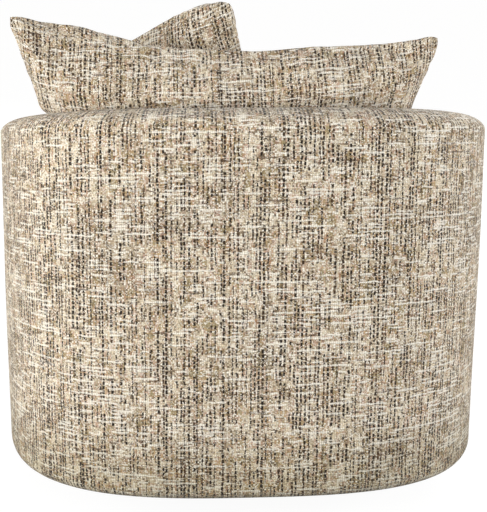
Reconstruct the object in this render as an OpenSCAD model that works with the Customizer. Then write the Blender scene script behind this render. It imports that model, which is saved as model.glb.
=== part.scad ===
// Swivel rocker: an upholstered barrel chair on a turntable and a sprung rocker.
// The origin is on the floor below the middle of the chair. +Z is up and the front faces -Y.
// A turn is an angle seen from above: 0 is the middle of the back and 180 the middle of the front.
// An inset is a distance inwards from the chair's outline, square to it.

/* [Shell] */
// Overall width of the chair
chair_w = 890; // [800:5:1000]
// Overall depth of the chair
chair_d = 880; // [800:5:1000]
// Height of the rim at the middle of the back
back_h = 747.5; // [690:0.5:850]
// Fall of the rim from the back to the front
rim_fall = 150; // [60:5:200]
// Squareness of the plan, where 2 is an oval
plan_squareness = 2.9; // [2.6:0.1:3.2]
// Turn at which an arm ends
arm_end_angle = 128; // [122:1:132]
// Thickness of the padded wall
wall_t = 104; // [98:1:112]
// Height of the rounded top of the wall
rim_round_h = 28; // [22:1:36]
// Height of the hem above the floor
hem_h = 70; // [66:1:84]
// Radius of the rolled hem
hem_round = 22; // [14:1:24]
// How far the outside draws in from the rim to the hem
hem_draw_in = 6; // [0:0.5:7]
// Thickness of the fabric and wadding on the outside
cover_t = 14; // [12:0.5:16]
// Thickness of the fabric and wadding on the inside
lining_t = 8; // [6:0.5:10]
// Thickness of the fabric and wadding over the rim
rim_cover_t = 12; // [10:0.5:14]
// Depth that the hem is turned under the frame
hem_turn_under = 40; // [36:1:44]

/* [Seat frame] */
// Height of the deck that the seat cushion lies on
deck_h = 290; // [284:1:310]
// Thickness of the padded deck
deck_pad_t = 10; // [8:1:14]
// Thickness of the outside board
board_t = 3.7; // [3:0.1:5]
// Thickness of the wooden frame
frame_t = 41.7; // [38:0.1:44]
// Height of the ring at the foot of the frame
bottom_ring_h = 40; // [30:1:44]
// Height of the ring that carries the seat
seat_ring_h = 40; // [36:1:44]
// Height of the rail below the rim
top_rail_h = 35; // [26:1:40]
// Depth of the top rail below the rim
top_rail_drop = 50; // [48:1:60]
// Thickness of the webbing inside the frame
webbing_t = 2; // [1.5:0.1:3]
// Height of the webbing's staples above the deck springs
webbing_lift = 4; // [2:1:10]
// Depth of the inside pad's top below the rim
pad_drop = 54; // [52:1:62]
// Width of the two rails over the rocker
cross_rail_w = 45; // [36:1:50]
// Depth of the two rails over the rocker
cross_rail_h = 42; // [36:1:46]
// Number of zigzag springs under the deck
seat_spring_count = 5; // [3:2:7]
// Distance between the zigzag springs
seat_spring_pitch = 100; // [80:5:105]
// Wire of the zigzag springs
seat_spring_wire = 4; // [3:0.5:5]
// Half width of a zigzag spring
seat_spring_half_w = 22; // [14:1:26]
// Length of one zigzag
seat_spring_zig = 44; // [36:1:60]
// Height of the clips that hold the zigzag springs
clip_h = 8; // [8:0.5:10]
// Width of a spring clip
clip_w = 22; // [16:1:30]
// Depth of a spring clip
clip_d = 14; // [10:1:14]
// Thickness of the cloth under the frame
dust_cover_t = 1.5; // [1:0.5:2]
// Radius of the opening in the cloth under the frame
dust_opening_r = 206; // [192:1:230]

/* [Seat cushion] */
// Height of the seat cushion's side
seat_side_h = 122; // [90:1:130]
// Extra height of the seat cushion's middle
seat_crown = 30; // [15:1:36]
// Clearance between the seat cushion and the arms
seat_clearance = 3; // [2:0.5:8]
// Inset of the seat cushion's front from the outline
seat_front_inset = 6; // [4:1:20]
// Rounding of the seat cushion's edges
seat_edge_round = 14; // [8:1:22]
// Length over which the seat cushion widens before the arms
seat_flare = 34; // [20:1:50]

/* [Back cushion] */
// Width of the back cushion between its upper corners
back_cushion_w = 740; // [700:5:760]
// Width of the back cushion between the arms
back_cushion_low_w = 590; // [540:2:600]
// Height of the back cushion at its middle
back_cushion_h = 397; // [360:1:440]
// Thickness of the back cushion
back_cushion_t = 160; // [120:5:170]
// Rise of the upper corners above the middle of the top edge
back_cushion_ear = 36; // [20:1:50]
// Depth by which the back cushion's ends come forward
back_cushion_wrap = 28; // [20:1:34]
// Distance that the top of the back cushion is pushed sideways
back_cushion_shift = 42; // [0:1:50]
// Sideways tilt of the back cushion's top edge in degrees
back_cushion_roll = 2.4; // [0:0.2:4]
// Distance from the rear of the chair to the middle of the back cushion
back_cushion_inset = 197.5; // [197.5:0.5:207.5]
// Backward lean of the back cushion over its height
back_cushion_lean = 24; // [0:1:30]

/* [Throw pillow] */
// Side of the square throw pillow
pillow_w = 410; // [340:5:410]
// Thickness of the throw pillow
pillow_t = 120; // [90:5:130]
// How far the pillow's sides draw in between its corners
pillow_draw_in = 16; // [8:1:30]
// Turn of the pillow in its own plane in degrees
pillow_turn = 16; // [8:1:24]
// Backward lean of the pillow in degrees
pillow_lean = 20; // [14:1:24]
// Turn of the pillow towards the middle of the chair in degrees
pillow_yaw = 25; // [18:1:30]
// Distance of the pillow's middle from the middle of the chair, across
pillow_x = 124; // [116:1:132]
// Distance by which the pillow's lean brings its middle forward of the back cushion
pillow_forward = 39.7; // [39.7:0.1:60]
// Thickness of the cushions' fabric and wadding wrap
wrap_t = 4; // [3:0.5:5]

/* [Base and turntable] */
// Radius of the floor ring to the middle of its tube
base_ring_r = 248; // [236:1:262]
// Diameter of the floor ring's tube
base_tube_d = 25; // [20:0.5:28]
// Height of a floor glide
glide_h = 8; // [5:0.5:10]
// Radius of a floor glide
glide_r = 15; // [10:1:20]
// Number of floor glides
glide_count = 6; // [4:1:8]
// Width of the bars across the floor ring
bar_w = 40; // [36:1:50]
// Thickness of the bars across the floor ring
bar_t = 6; // [5:0.5:6]
// Radius of the bearing plates
plate_r = 130; // [124:1:134]
// Thickness of the bearing plates
plate_t = 4; // [4:0.5:5]
// Diameter of a bearing ball
ball_d = 10; // [9.5:0.5:11]
// Number of bearing balls
ball_count = 24; // [12:1:28]
// Radius of the circle of balls
ball_ring_r = 105; // [103:1:112]
// Depth of the ball's groove in each plate
groove_depth = 2; // [1.5:0.1:2]
// Radius of the bolt that the chair turns on
king_bolt_r = 9.95; // [8:0.05:12]
// Running clearance around the turning bolt and the pivot shaft
running_clearance = 0.05; // [0.02:0.01:0.1]
// Radius of the bolts in the plates
plate_bolt_r = 4; // [3:0.5:5]

/* [Rocker] */
// Height of the rocking pivot between the cradle and the rocker frame, as a share
pivot_share = 0.566; // [0.54:0.002:0.6]
// Radius of the rocking pivot shaft
pivot_r = 8; // [6:0.5:9]
// Half width of the cradle over its ears
cradle_half_w = 90; // [86:1:92]
// Half length of the cradle and the rocker frame
cradle_half_l = 160; // [156:1:164]
// Thickness of the steel in the cradle and the rocker frame
rocker_steel_t = 4; // [3:0.5:4.5]
// Radius of the ears around the pivot
ear_r = 22; // [18:1:24]
// Half length of an ear at its foot
ear_half_l = 98; // [80:1:100]
// Outer radius of a rocker spring
spring_r = 28; // [24:1:30]
// Wire of a rocker spring
spring_wire = 7; // [5:0.5:8]
// Number of curls in a rocker spring
spring_curls = 5.5; // [4.5:1:6.5]
// Distance of the rocker springs from the pivot
spring_y = 130; // [128:1:131]
// Distance of the rocker springs from the middle
spring_x = 50; // [40:1:52]

/* [Hidden] */
$fn = 48;
half_w = chair_w / 2;
half_d = chair_d / 2;
back_cushion_y = half_d - back_cushion_inset;
seam_gap = 0.3;
overrun = 1;
reach = chair_w + chair_d;
rim_tilt = atan(rim_fall / chair_d);
frame_low = hem_h + cover_t;

// stations round the plan: the wall has the first ones and the front the rest
wall_steps = 50;
front_steps = 20;
all_steps = wall_steps + front_steps;

// layers of the wall from the outside in
board_inset = cover_t + seam_gap;
frame_inset = board_inset + board_t + seam_gap;
webbing_inset = frame_inset + frame_t + seam_gap;
pad_inset = webbing_inset + webbing_t + seam_gap;
lining_inset = wall_t - lining_t;

// levels of the seat frame
clip_z = deck_h - deck_pad_t - clip_h;
seat_ring_low = clip_z - seat_ring_h;
cross_rail_low = seat_ring_low - cross_rail_h;

// levels of the base and the turntable
bar_low = glide_h + base_tube_d;
lower_plate_low = bar_low + bar_t;
ball_z = lower_plate_low + plate_t + ball_d / 2 - groove_depth;
upper_plate_low = ball_z + ball_d / 2 - groove_depth;
groove_r = ball_d / 2 + running_clearance * 2;
cradle_low = upper_plate_low + plate_t;
cradle_top = cradle_low + rocker_steel_t;
bolt_head_h = 3;
bolt_head_share = 1.8;
rivet_ring_r = 85;
plate_bolt_ring_r = 75;
cage_t = 2;
cage_w = 16;
cage_clearance = 0.15;
king_head_h = 6;
king_nut_h = 16;
king_washer_t = 2;
king_head_share = 1.6;
king_washer_share = 1.92;
cradle_hole_margin = 2;

// levels of the rocker
rocker_frame_low = cross_rail_low - rocker_steel_t;
pivot_h = cradle_top + round((rocker_frame_low - cradle_top) * pivot_share);
shaft_collar_t = 0.5;
bush_wall = 3;
bush_length = 12;
bush_flange_w = 4;
bush_flange_t = 1.5;
clip_ring_t = 1.5;
clip_ring_w = 5;
shaft_end_share = 3;
screw_r = 4;
screw_clearance = 0.2;
screw_y = 60;
screw_length = 34;
spring_rings = 8;
spring_sides = 6;

// seat space and cushions
seat_middle_share = -0.034;
seat_middle = [0, chair_d * seat_middle_share];
seat_edge_h = seat_side_h + deck_h;
// height shares and edge shares of the seat cushion's side, then height and width shares of its crown
seat_side_shares = [[0, 1], [0.1, 0.2], [0.38, 0], [0.62, 0], [0.9, 0.25], [1, 1]];
seat_crown_shares = [[0.4, 0.86], [0.8, 0.6], [0.97, 0.3]];
// width of the back cushion's sides from its lower edge up, as heights and shares of the widening
back_side_shares = [[0, 0.02], [0.3, 0], [0.58, 0.02], [0.629, 0.09], [0.75, 0.56], [0.854, 0.79],
    [0.933, 0.95], [1, 1]];
// height share at which the back cushion passes the rim, and the share over which it shifts sideways
back_rim_share = 0.58;
back_shift_share = 0.17;
// height share at which the back cushion's ears begin to rise, and the power that sharpens them
ear_start_share = 0.286;
ear_power = 2.4;
// shares of the seat cushion's crown that lie under the back cushion and under the pillow's corner
back_crown_share = 0.635;
pillow_crown_share = 0.75;
// power that fills a cushion out towards its seam, and the draw of a lining there as a share of its depth
puff_power = 0.42;
seam_draw_share = 3;

// plan of the chair
function signed_pow(v, e) = sign(v) * pow(abs(v), e);
function plan_radius(turn) =
    pow(pow(abs(sin(turn)) / half_w, plan_squareness) + pow(abs(cos(turn)) / half_d, plan_squareness),
        -1 / plan_squareness);
function plan_point(turn) = plan_radius(turn) * [sin(turn), cos(turn)];
function plan_normal(turn) =
    let (p = plan_point(turn),
         slope = [signed_pow(p[0] / half_w, plan_squareness - 1) / half_w,
                  signed_pow(p[1] / half_d, plan_squareness - 1) / half_d])
    slope / norm(slope);
function inset_point(turn, inset) = plan_point(turn) - inset * plan_normal(turn);
function rim_level(y) = back_h - rim_fall * (1 - y / half_d) / 2;
function turn_at(i) =
    i <= wall_steps ? arm_end_angle * (2 * i / wall_steps - 1)
    : arm_end_angle + (360 - 2 * arm_end_angle) * (i - wall_steps) / front_steps;
// half depth of the plan at a distance x across, for a given inset
function depth_at(x, inset) =
    (half_d - inset) * pow(1 - pow(abs(x) / (half_w - inset), plan_squareness), 1 / plan_squareness);
function smooth(s) = s <= 0 ? 0 : s >= 1 ? 1 : s * s * (3 - 2 * s);

// upright band that follows the plan from one station to another
module band(first, last, outer, inner, low, high) {
    outline = concat(
        [for (i = [first:last]) inset_point(turn_at(i), outer)],
        [for (i = [last:-1:first]) inset_point(turn_at(i), inner)]);
    translate([0, 0, low])
        linear_extrude(high - low)
            polygon(outline);
}

// upright ring that follows the whole plan
module closed_ring(outer, inner, low, high) {
    translate([0, 0, low])
        linear_extrude(high - low)
            difference() {
                polygon([for (i = [0:all_steps - 1]) inset_point(turn_at(i), outer)]);
                polygon([for (i = [0:all_steps - 1]) inset_point(turn_at(i), inner)]);
            }
}

// what lies between two planes below the sloping rim
module rim_slab(drop_top, drop_low) {
    intersection() {
        children();
        translate([0, 0, rim_level(0) - drop_low])
            rotate([rim_tilt, 0, 0])
                translate([-reach, -reach, 0])
                    cube([2 * reach, 2 * reach, (drop_low - drop_top) * cos(rim_tilt)]);
    }
}

// skin or pad whose section is carried along the plan
// a section point is an inset, a height, and 1 where the height counts from the rim
module swept(first, last, section) {
    sides = len(section);
    steps = last - first;
    points = [for (i = [first:last])
        let (p = plan_point(turn_at(i)), n = plan_normal(turn_at(i)), top = rim_level(p[1]))
        for (s = section) [p[0] - s[0] * n[0], p[1] - s[0] * n[1], s[1] + s[2] * top]];
    walls = [for (i = [0:steps - 1], j = [0:sides - 1])
        let (a = i * sides + j, b = i * sides + (j + 1) % sides)
        each [[a, b + sides, b], [a, a + sides, b + sides]]];
    polyhedron(points, concat(walls, [[for (j = [0:sides - 1]) j]],
        [[for (j = [sides - 1:-1:0]) steps * sides + j]]));
}

// closed surfaces are lists of points and of faces, so that a wrap and its filling share them
function reversed(faces) = [for (f = faces) [f[2], f[1], f[0]]];
function moved_on(faces, n) = [for (f = faces) [for (i = f) i + n]];
function split_quad(q) = [[q[0], q[1], q[2]], [q[0], q[2], q[3]]];
// walls from a loop of outer points to the same loop of inner points
function loop_walls(loop, n) = [for (k = [0:len(loop) - 1])
    let (p = loop[k], q = loop[(k + 1) % len(loop)])
    each split_quad([p, q, q + n, p + n])];

// skin between an outer and an inner surface, open where a patch of faces is left out
module open_skin(outer, inner, kept, loop) {
    n = len(outer);
    polyhedron(concat(outer, inner), concat(kept, moved_on(reversed(kept), n), loop_walls(loop, n)));
}

// strip that fills the patch left out of a skin
module skin_patch(outer, inner, patch, loop) {
    n = len(outer);
    polyhedron(concat(outer, inner),
        concat(patch, moved_on(reversed(patch), n), reversed(loop_walls(loop, n))));
}

// surface through closed rings of points, with a point at each end
function lofted_points(rings, low_point, high_point) =
    concat([for (r = rings) each r], [low_point, high_point]);
function lofted_index(i, j, sides) = i * sides + (j + sides) % sides;
function lofted_quads(rows, cols, sides) = [for (i = rows, j = cols)
    each split_quad([lofted_index(i, j, sides), lofted_index(i, j + 1, sides),
        lofted_index(i + 1, j + 1, sides), lofted_index(i + 1, j, sides)])];
function lofted_ends(count, sides) = concat(
    [for (j = [0:sides - 1]) [count * sides, lofted_index(0, j + 1, sides), j]],
    [for (j = [0:sides - 1])
        [count * sides + 1, (count - 1) * sides + j, lofted_index(count - 1, j + 1, sides)]]);
module lofted(rings, low_point, high_point) {
    sides = len(rings[0]);
    count = len(rings);
    polyhedron(lofted_points(rings, low_point, high_point),
        concat(lofted_quads([0:count - 2], [0:sides - 1], sides), lofted_ends(count, sides)));
}

// base
module floor_glides() {
    color("dimgray")
        for (i = [0:glide_count - 1])
            rotate([0, 0, 360 * i / glide_count])
                translate([base_ring_r, 0, 0])
                    cylinder(r = glide_r, h = glide_h);
}

module base_ring() {
    color("silver")
        translate([0, 0, glide_h + base_tube_d / 2])
            rotate_extrude($fn = 96)
                translate([base_ring_r, 0])
                    circle(d = base_tube_d);
}

module base_bars() {
    color("silver")
        difference() {
            union() {
                translate([-base_ring_r, -bar_w / 2, bar_low])
                    cube([2 * base_ring_r, bar_w, bar_t]);
                for (side = [-1, 1])
                    scale([1, side, 1])
                        translate([-bar_w / 2, bar_w / 2 + seam_gap, bar_low])
                            cube([bar_w, base_ring_r - bar_w / 2 - seam_gap, bar_t]);
            }
            translate([0, 0, bar_low - overrun])
                cylinder(r = king_bolt_r + running_clearance, h = bar_t + 2 * overrun);
            plate_bolt_places()
                translate([0, 0, bar_low - overrun])
                    cylinder(r = plate_bolt_r + screw_clearance, h = bar_t + 2 * overrun);
        }
}

module plate_bolt_places() {
    for (i = [0:3])
        rotate([0, 0, 90 * i])
            translate([plate_bolt_ring_r, 0, 0])
                children();
}

module ball_groove() {
    translate([0, 0, ball_z])
        rotate_extrude($fn = 96)
            translate([ball_ring_r, 0])
                circle(r = groove_r);
}

module lower_bearing_plate() {
    color("silver")
        difference() {
            translate([0, 0, lower_plate_low])
                cylinder(r = plate_r, h = plate_t);
            translate([0, 0, lower_plate_low - overrun])
                cylinder(r = king_bolt_r + running_clearance, h = plate_t + 2 * overrun);
            plate_bolt_places()
                translate([0, 0, lower_plate_low - overrun])
                    cylinder(r = plate_bolt_r + screw_clearance, h = plate_t + 2 * overrun);
            ball_groove();
        }
}

module bearing_plate_bolts() {
    color("gray")
        plate_bolt_places() {
            translate([0, 0, bar_low - plate_bolt_r])
                cylinder(r = plate_bolt_r, h = bar_t + plate_t + plate_bolt_r);
            translate([0, 0, lower_plate_low + plate_t])
                cylinder(r = plate_bolt_r * bolt_head_share, h = bolt_head_h);
            translate([0, 0, bar_low - plate_bolt_r])
                cylinder(r = plate_bolt_r * bolt_head_share, h = plate_bolt_r, $fn = 6);
        }
}

module bearing_balls() {
    color("silver")
        for (i = [0:ball_count - 1])
            rotate([0, 0, 360 * i / ball_count])
                translate([ball_ring_r, 0, ball_z])
                    sphere(d = ball_d, $fn = 32);
}

module ball_cage() {
    color("ivory")
        translate([0, 0, ball_z - cage_t / 2])
            difference() {
                cylinder(r = ball_ring_r + cage_w / 2, h = cage_t, $fn = 96);
                translate([0, 0, -overrun])
                    cylinder(r = ball_ring_r - cage_w / 2, h = cage_t + 2 * overrun, $fn = 96);
                for (i = [0:ball_count - 1])
                    rotate([0, 0, 360 * i / ball_count])
                        translate([ball_ring_r, 0, -overrun])
                            cylinder(r = ball_d / 2 + cage_clearance, h = cage_t + 2 * overrun);
            }
}

module king_bolt() {
    color("gray") {
        translate([0, 0, bar_low - king_head_h])
            cylinder(r = king_bolt_r * king_head_share, h = king_head_h, $fn = 6);
        translate([0, 0, bar_low - overrun])
            cylinder(r = king_bolt_r, h = cradle_top + king_washer_t + king_nut_h - bar_low + 2 * overrun);
    }
}

module king_nut() {
    color("gray")
        difference() {
            translate([0, 0, cradle_top + seam_gap]) {
                cylinder(r = king_bolt_r * king_washer_share, h = king_washer_t);
                cylinder(r = king_bolt_r * king_head_share, h = king_washer_t + king_nut_h, $fn = 6);
            }
            cylinder(r = king_bolt_r + running_clearance, h = reach);
        }
}

// turntable
module rivet_places() {
    for (i = [0:3])
        rotate([0, 0, 90 * i + 45])
            translate([rivet_ring_r, 0, 0])
                children();
}

module swivel_plate() {
    color("silver")
        difference() {
            translate([0, 0, upper_plate_low])
                cylinder(r = plate_r, h = plate_t);
            cylinder(r = king_bolt_r + running_clearance, h = reach);
            rivet_places()
                cylinder(r = plate_bolt_r + running_clearance, h = reach);
            ball_groove();
        }
}

// upright ear that ends in a round eye about the pivot, drawn in the plane x = 0
module pivot_ear(foot_z) {
    rotate([90, 0, 90])
        linear_extrude(rocker_steel_t)
            union() {
                polygon([[-ear_half_l, foot_z], [ear_half_l, foot_z], [ear_r, pivot_h], [-ear_r, pivot_h]]);
                translate([0, pivot_h])
                    circle(r = ear_r);
            }
}

module pivot_bore(r) {
    translate([-reach, 0, pivot_h])
        rotate([0, 90, 0])
            cylinder(r = r, h = 2 * reach);
}

module rocker_cradle() {
    color("dimgray")
        difference() {
            union() {
                translate([-cradle_half_w, -cradle_half_l, cradle_low])
                    cube([2 * cradle_half_w, 2 * cradle_half_l, rocker_steel_t]);
                translate([cradle_half_w - rocker_steel_t, 0, 0])
                    pivot_ear(cradle_low + rocker_steel_t / 2);
                translate([-cradle_half_w, 0, 0])
                    pivot_ear(cradle_low + rocker_steel_t / 2);
            }
            cylinder(r = king_bolt_r + cradle_hole_margin, h = cradle_top + overrun);
            rivet_places()
                cylinder(r = plate_bolt_r + running_clearance, h = cradle_top + overrun);
            pivot_bore(pivot_r + bush_wall + running_clearance);
        }
}

module cradle_rivets() {
    color("gray")
        rivet_places() {
            translate([0, 0, upper_plate_low - cage_t])
                cylinder(r = plate_bolt_r, h = cradle_top - upper_plate_low + cage_t + bolt_head_h);
            translate([0, 0, upper_plate_low - cage_t])
                cylinder(r = plate_bolt_r * bolt_head_share, h = cage_t);
            translate([0, 0, cradle_top])
                cylinder(r = plate_bolt_r * bolt_head_share, h = bolt_head_h);
        }
}

module pivot_bushes() {
    color("ivory")
        for (side = [-1, 1])
            scale([side, 1, 1])
                translate([cradle_half_w, 0, pivot_h])
                    rotate([0, 90, 0])
                        difference() {
                            union() {
                                translate([0, 0, -bush_length])
                                    cylinder(r = pivot_r + bush_wall, h = bush_length + bush_flange_t);
                                cylinder(r = pivot_r + bush_wall + bush_flange_w, h = bush_flange_t);
                            }
                            translate([0, 0, -bush_length - overrun])
                                cylinder(r = pivot_r + running_clearance,
                                    h = bush_length + bush_flange_t + 2 * overrun);
                        }
}

// rocker mechanism on the seat
rocker_ear_x = cradle_half_w + bush_flange_t + shaft_collar_t;
rocker_half_w = rocker_ear_x + rocker_steel_t;

module pivot_shaft() {
    half = rocker_half_w + clip_ring_t * shaft_end_share;
    color("silver")
        translate([-half, 0, pivot_h])
            rotate([0, 90, 0])
                cylinder(r = pivot_r, h = 2 * half);
}

module shaft_clips() {
    color("gray")
        for (side = [-1, 1])
            scale([side, 1, 1])
                translate([rocker_half_w + seam_gap, 0, pivot_h])
                    rotate([0, 90, 0])
                        difference() {
                            cylinder(r = pivot_r + clip_ring_w, h = clip_ring_t);
                            translate([0, 0, -overrun])
                                cylinder(r = pivot_r + running_clearance, h = clip_ring_t + 2 * overrun);
                        }
}

module screw_places() {
    for (side_x = [-1, 1], side_y = [-1, 1])
        translate([side_x * cross_rail_x, side_y * screw_y, 0])
            children();
}

module rocker_frame() {
    color("dimgray")
        difference() {
            union() {
                translate([-rocker_half_w, -cradle_half_l, rocker_frame_low])
                    cube([2 * rocker_half_w, 2 * cradle_half_l, rocker_steel_t]);
                translate([rocker_ear_x, 0, 0])
                    pivot_ear(rocker_frame_low + rocker_steel_t / 2);
                translate([-rocker_half_w, 0, 0])
                    pivot_ear(rocker_frame_low + rocker_steel_t / 2);
            }
            pivot_bore(pivot_r + running_clearance);
            screw_places()
                cylinder(r = screw_r + screw_clearance, h = reach);
        }
}

function coil_point(s, z0, rise) =
    let (turn = 360 * spring_curls * s, r = spring_r - spring_wire / 2)
    [r * cos(turn), r * sin(turn), z0 + rise * s];

// one unbroken coil standing between two levels
module coil(low, high) {
    z0 = low + spring_wire / 2;
    rise = high - low - spring_wire;
    rings = spring_rings * spring_curls;
    centres = [for (i = [0:rings]) coil_point(i / rings, z0, rise)];
    points = [for (i = [0:rings], j = [0:spring_sides - 1])
        let (turn = 360 * spring_curls * i / rings, a = 360 * j / spring_sides, w = spring_wire / 2 * cos(a))
        centres[i] + [w * cos(turn), w * sin(turn), spring_wire / 2 * sin(a)]];
    walls = [for (i = [0:rings - 1], j = [0:spring_sides - 1])
        let (a = i * spring_sides + j, b = i * spring_sides + (j + 1) % spring_sides)
        each [[a, b, b + spring_sides], [a, b + spring_sides, a + spring_sides]]];
    polyhedron(points, concat(walls, [[for (j = [spring_sides - 1:-1:0]) j]],
        [[for (j = [0:spring_sides - 1]) rings * spring_sides + j]]));
    least_gap = min([for (i = [0:rings - spring_rings]) norm(centres[i + spring_rings] - centres[i])])
        - spring_wire;
    echo(least_gap = least_gap);
}

module rocker_springs(side) {
    color("silver")
        for (x = [-spring_x, spring_x])
            translate([x, side * spring_y, 0])
                coil(cradle_top + seam_gap, rocker_frame_low - seam_gap);
}

module front_rocker_springs() {
    rocker_springs(-1);
}

module rear_rocker_springs() {
    rocker_springs(1);
}

module rocker_screws() {
    color("gray")
        screw_places() {
            translate([0, 0, rocker_frame_low - bolt_head_h])
                cylinder(r = screw_r * bolt_head_share, h = bolt_head_h, $fn = 6);
            translate([0, 0, rocker_frame_low - bolt_head_h / 2])
                cylinder(r = screw_r, h = screw_length);
        }
}

// wooden seat frame
cross_rail_x = rocker_half_w - cross_rail_w / 2;

module cross_rails() {
    color("burlywood")
        difference() {
            for (side = [-1, 1])
                translate([side * cross_rail_x - cross_rail_w / 2, -cross_rail_end, cross_rail_low])
                    cube([cross_rail_w, 2 * cross_rail_end, cross_rail_h]);
            screw_places()
                translate([0, 0, cross_rail_low - overrun])
                    cylinder(r = screw_r + running_clearance, h = screw_length + overrun);
        }
}
cross_rail_end = depth_at(rocker_half_w, frame_inset) - 3 * seam_gap;

module bottom_ring() {
    color("burlywood")
        closed_ring(frame_inset, frame_inset + frame_t, frame_low, frame_low + bottom_ring_h);
}

module seat_ring() {
    color("burlywood")
        closed_ring(frame_inset, frame_inset + frame_t, seat_ring_low, clip_z);
}

// stations where posts stand; each post is one station wide
lower_post_steps = [0, 8, 16, 33, 41, 49, 53, 66];
upper_post_steps = [0, 9, 17, 32, 40, 49];
middle_post_half_w = 38;

lower_post_low = frame_low + bottom_ring_h;

module lower_posts() {
    color("burlywood") {
        for (i = lower_post_steps)
            band(i, i + 1, frame_inset, frame_inset + frame_t, lower_post_low, seat_ring_low);
        for (side = [-1, 1])
            scale([1, side, 1])
                translate([-middle_post_half_w, depth_at(middle_post_half_w, frame_inset) - frame_t,
                    lower_post_low])
                    cube([2 * middle_post_half_w, frame_t - seam_gap, seat_ring_low - lower_post_low]);
    }
}

module upper_posts() {
    color("burlywood")
        rim_slab(top_rail_drop + top_rail_h, reach / 2)
            for (i = upper_post_steps)
                band(i, i + 1, frame_inset, frame_inset + frame_t, clip_z, back_h);
}

module top_rail() {
    color("burlywood")
        rim_slab(top_rail_drop, top_rail_drop + top_rail_h)
            band(0, wall_steps, frame_inset, frame_inset + frame_t, clip_z, back_h);
}

// triangular blocks that brace the cross rails under the seat ring
block_leg = 60;
module corner_blocks() {
    color("burlywood")
        for (side_x = [-1, 1], side_y = [-1, 1])
            scale([side_x, side_y, 1])
                translate([rocker_half_w, cross_rail_end - frame_t - block_leg, cross_rail_low])
                    linear_extrude(cross_rail_h)
                        polygon([[0, 0], [block_leg, block_leg], [0, block_leg]]);
}

// zigzag springs and clips under the deck
function seat_spring_end(x) = depth_at(x, frame_inset + frame_t) - seam_gap;
function seat_spring_x(i) = (i - (seat_spring_count - 1) / 2) * seat_spring_pitch;

module seat_spring(x) {
    end = seat_spring_end(x);
    zig_end = end - seat_spring_wire;
    zigs = 2 * floor(zig_end / seat_spring_zig) + 1;
    pitch = 2 * zig_end / zigs;
    half = seat_spring_wire / 2;
    middle_line = concat(
        [[x, -end]],
        [for (i = [0:4 * zigs]) [x + seat_spring_half_w * sin(90 * i), -zig_end + pitch * i / 4]],
        [[x, end]]);
    steps = len(middle_line) - 1;
    normals = [for (i = [0:steps])
        let (a = middle_line[max(i - 1, 0)], b = middle_line[min(i + 1, steps)], d = (b - a) / norm(b - a))
        [d[1], -d[0]]];
    slant = sqrt(2);
    outline = concat(
        [for (i = [0:steps]) middle_line[i] + normals[i] * half * slant],
        [for (i = [steps:-1:0]) middle_line[i] - normals[i] * half * slant]);
    translate([0, 0, clip_z + clip_h - seat_spring_wire])
        linear_extrude(seat_spring_wire)
            polygon(outline);
}

module seat_springs() {
    color("silver")
        for (i = [0:seat_spring_count - 1])
            seat_spring(seat_spring_x(i));
}

module spring_clips() {
    color("gray")
        for (i = [0:seat_spring_count - 1], side = [-1, 1])
            scale([1, side, 1])
                translate([seat_spring_x(i) - clip_w / 2,
                    seat_spring_end(seat_spring_x(i)) + seam_gap, clip_z])
                    cube([clip_w, clip_d, clip_h]);
}

module deck_pad() {
    color("tan")
        translate([0, 0, deck_h - deck_pad_t])
            linear_extrude(deck_pad_t)
                polygon([for (i = [0:all_steps - 1]) inset_point(turn_at(i), webbing_inset + webbing_t)]);
}

// layers of the wall
module outside_board() {
    color("peru")
        rim_slab(top_rail_drop, reach / 2)
            band(0, wall_steps, board_inset, board_inset + board_t, frame_low, back_h);
}

module front_board() {
    color("peru")
        band(wall_steps, all_steps, board_inset, board_inset + board_t, frame_low, clip_z);
}

module back_webbing() {
    color("darkkhaki")
        rim_slab(top_rail_drop + webbing_lift, reach / 2)
            for (i = [1:3:wall_steps - 2])
                band(i, i + 1, webbing_inset, webbing_inset + webbing_t, deck_h + seam_gap, back_h);
}

module inside_pad() {
    color("khaki")
        rim_slab(pad_drop, reach / 2)
            band(0, wall_steps, pad_inset, lining_inset - seam_gap, deck_h + seam_gap, back_h);
}

// half oval over the rim, from one inset to another
function rim_arc(outer, inner, radius_z, steps) =
    let (middle = (outer + inner) / 2, half = (inner - outer) / 2)
    [for (k = [0:steps]) [middle - half * cos(180 * k / steps),
        -rim_round_h + radius_z * sin(180 * k / steps), 1]];
rim_steps = 8;
rim_pad_steps = 5;
rim_pad_foot_share = 0.215;
function backwards(list) = [for (i = [len(list) - 1:-1:0]) list[i]];

module rim_pad() {
    low = top_rail_drop - rim_round_h * rim_pad_foot_share;
    outer = board_inset + seam_gap;
    inner = lining_inset - 2 * seam_gap;
    color("khaki")
        swept(0, wall_steps, concat(
            [[outer, -low, 1]],
            rim_arc(outer, inner, rim_round_h - rim_cover_t - 2 * seam_gap, rim_pad_steps),
            [[inner, -low, 1]]));
}

// the hem, rolled in and turned under the frame
hem_outside = concat(
    [[hem_turn_under, hem_h, 0]],
    [for (k = [0:3])
        [hem_draw_in + hem_round * (1 - sin(30 * k)), hem_h + hem_round * (1 - cos(30 * k)), 0]]);
hem_inside = [[cover_t, frame_low - seam_gap, 0], [hem_turn_under, frame_low - seam_gap, 0]];

module shell_cover() {
    color("tan")
        swept(0, wall_steps, concat(
            hem_outside,
            rim_arc(0, wall_t, rim_round_h, rim_steps),
            [[wall_t, deck_h + seam_gap, 0], [lining_inset, deck_h + seam_gap, 0]],
            backwards(rim_arc(cover_t, lining_inset, rim_round_h - rim_cover_t, rim_pad_steps)),
            hem_inside));
}

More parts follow.
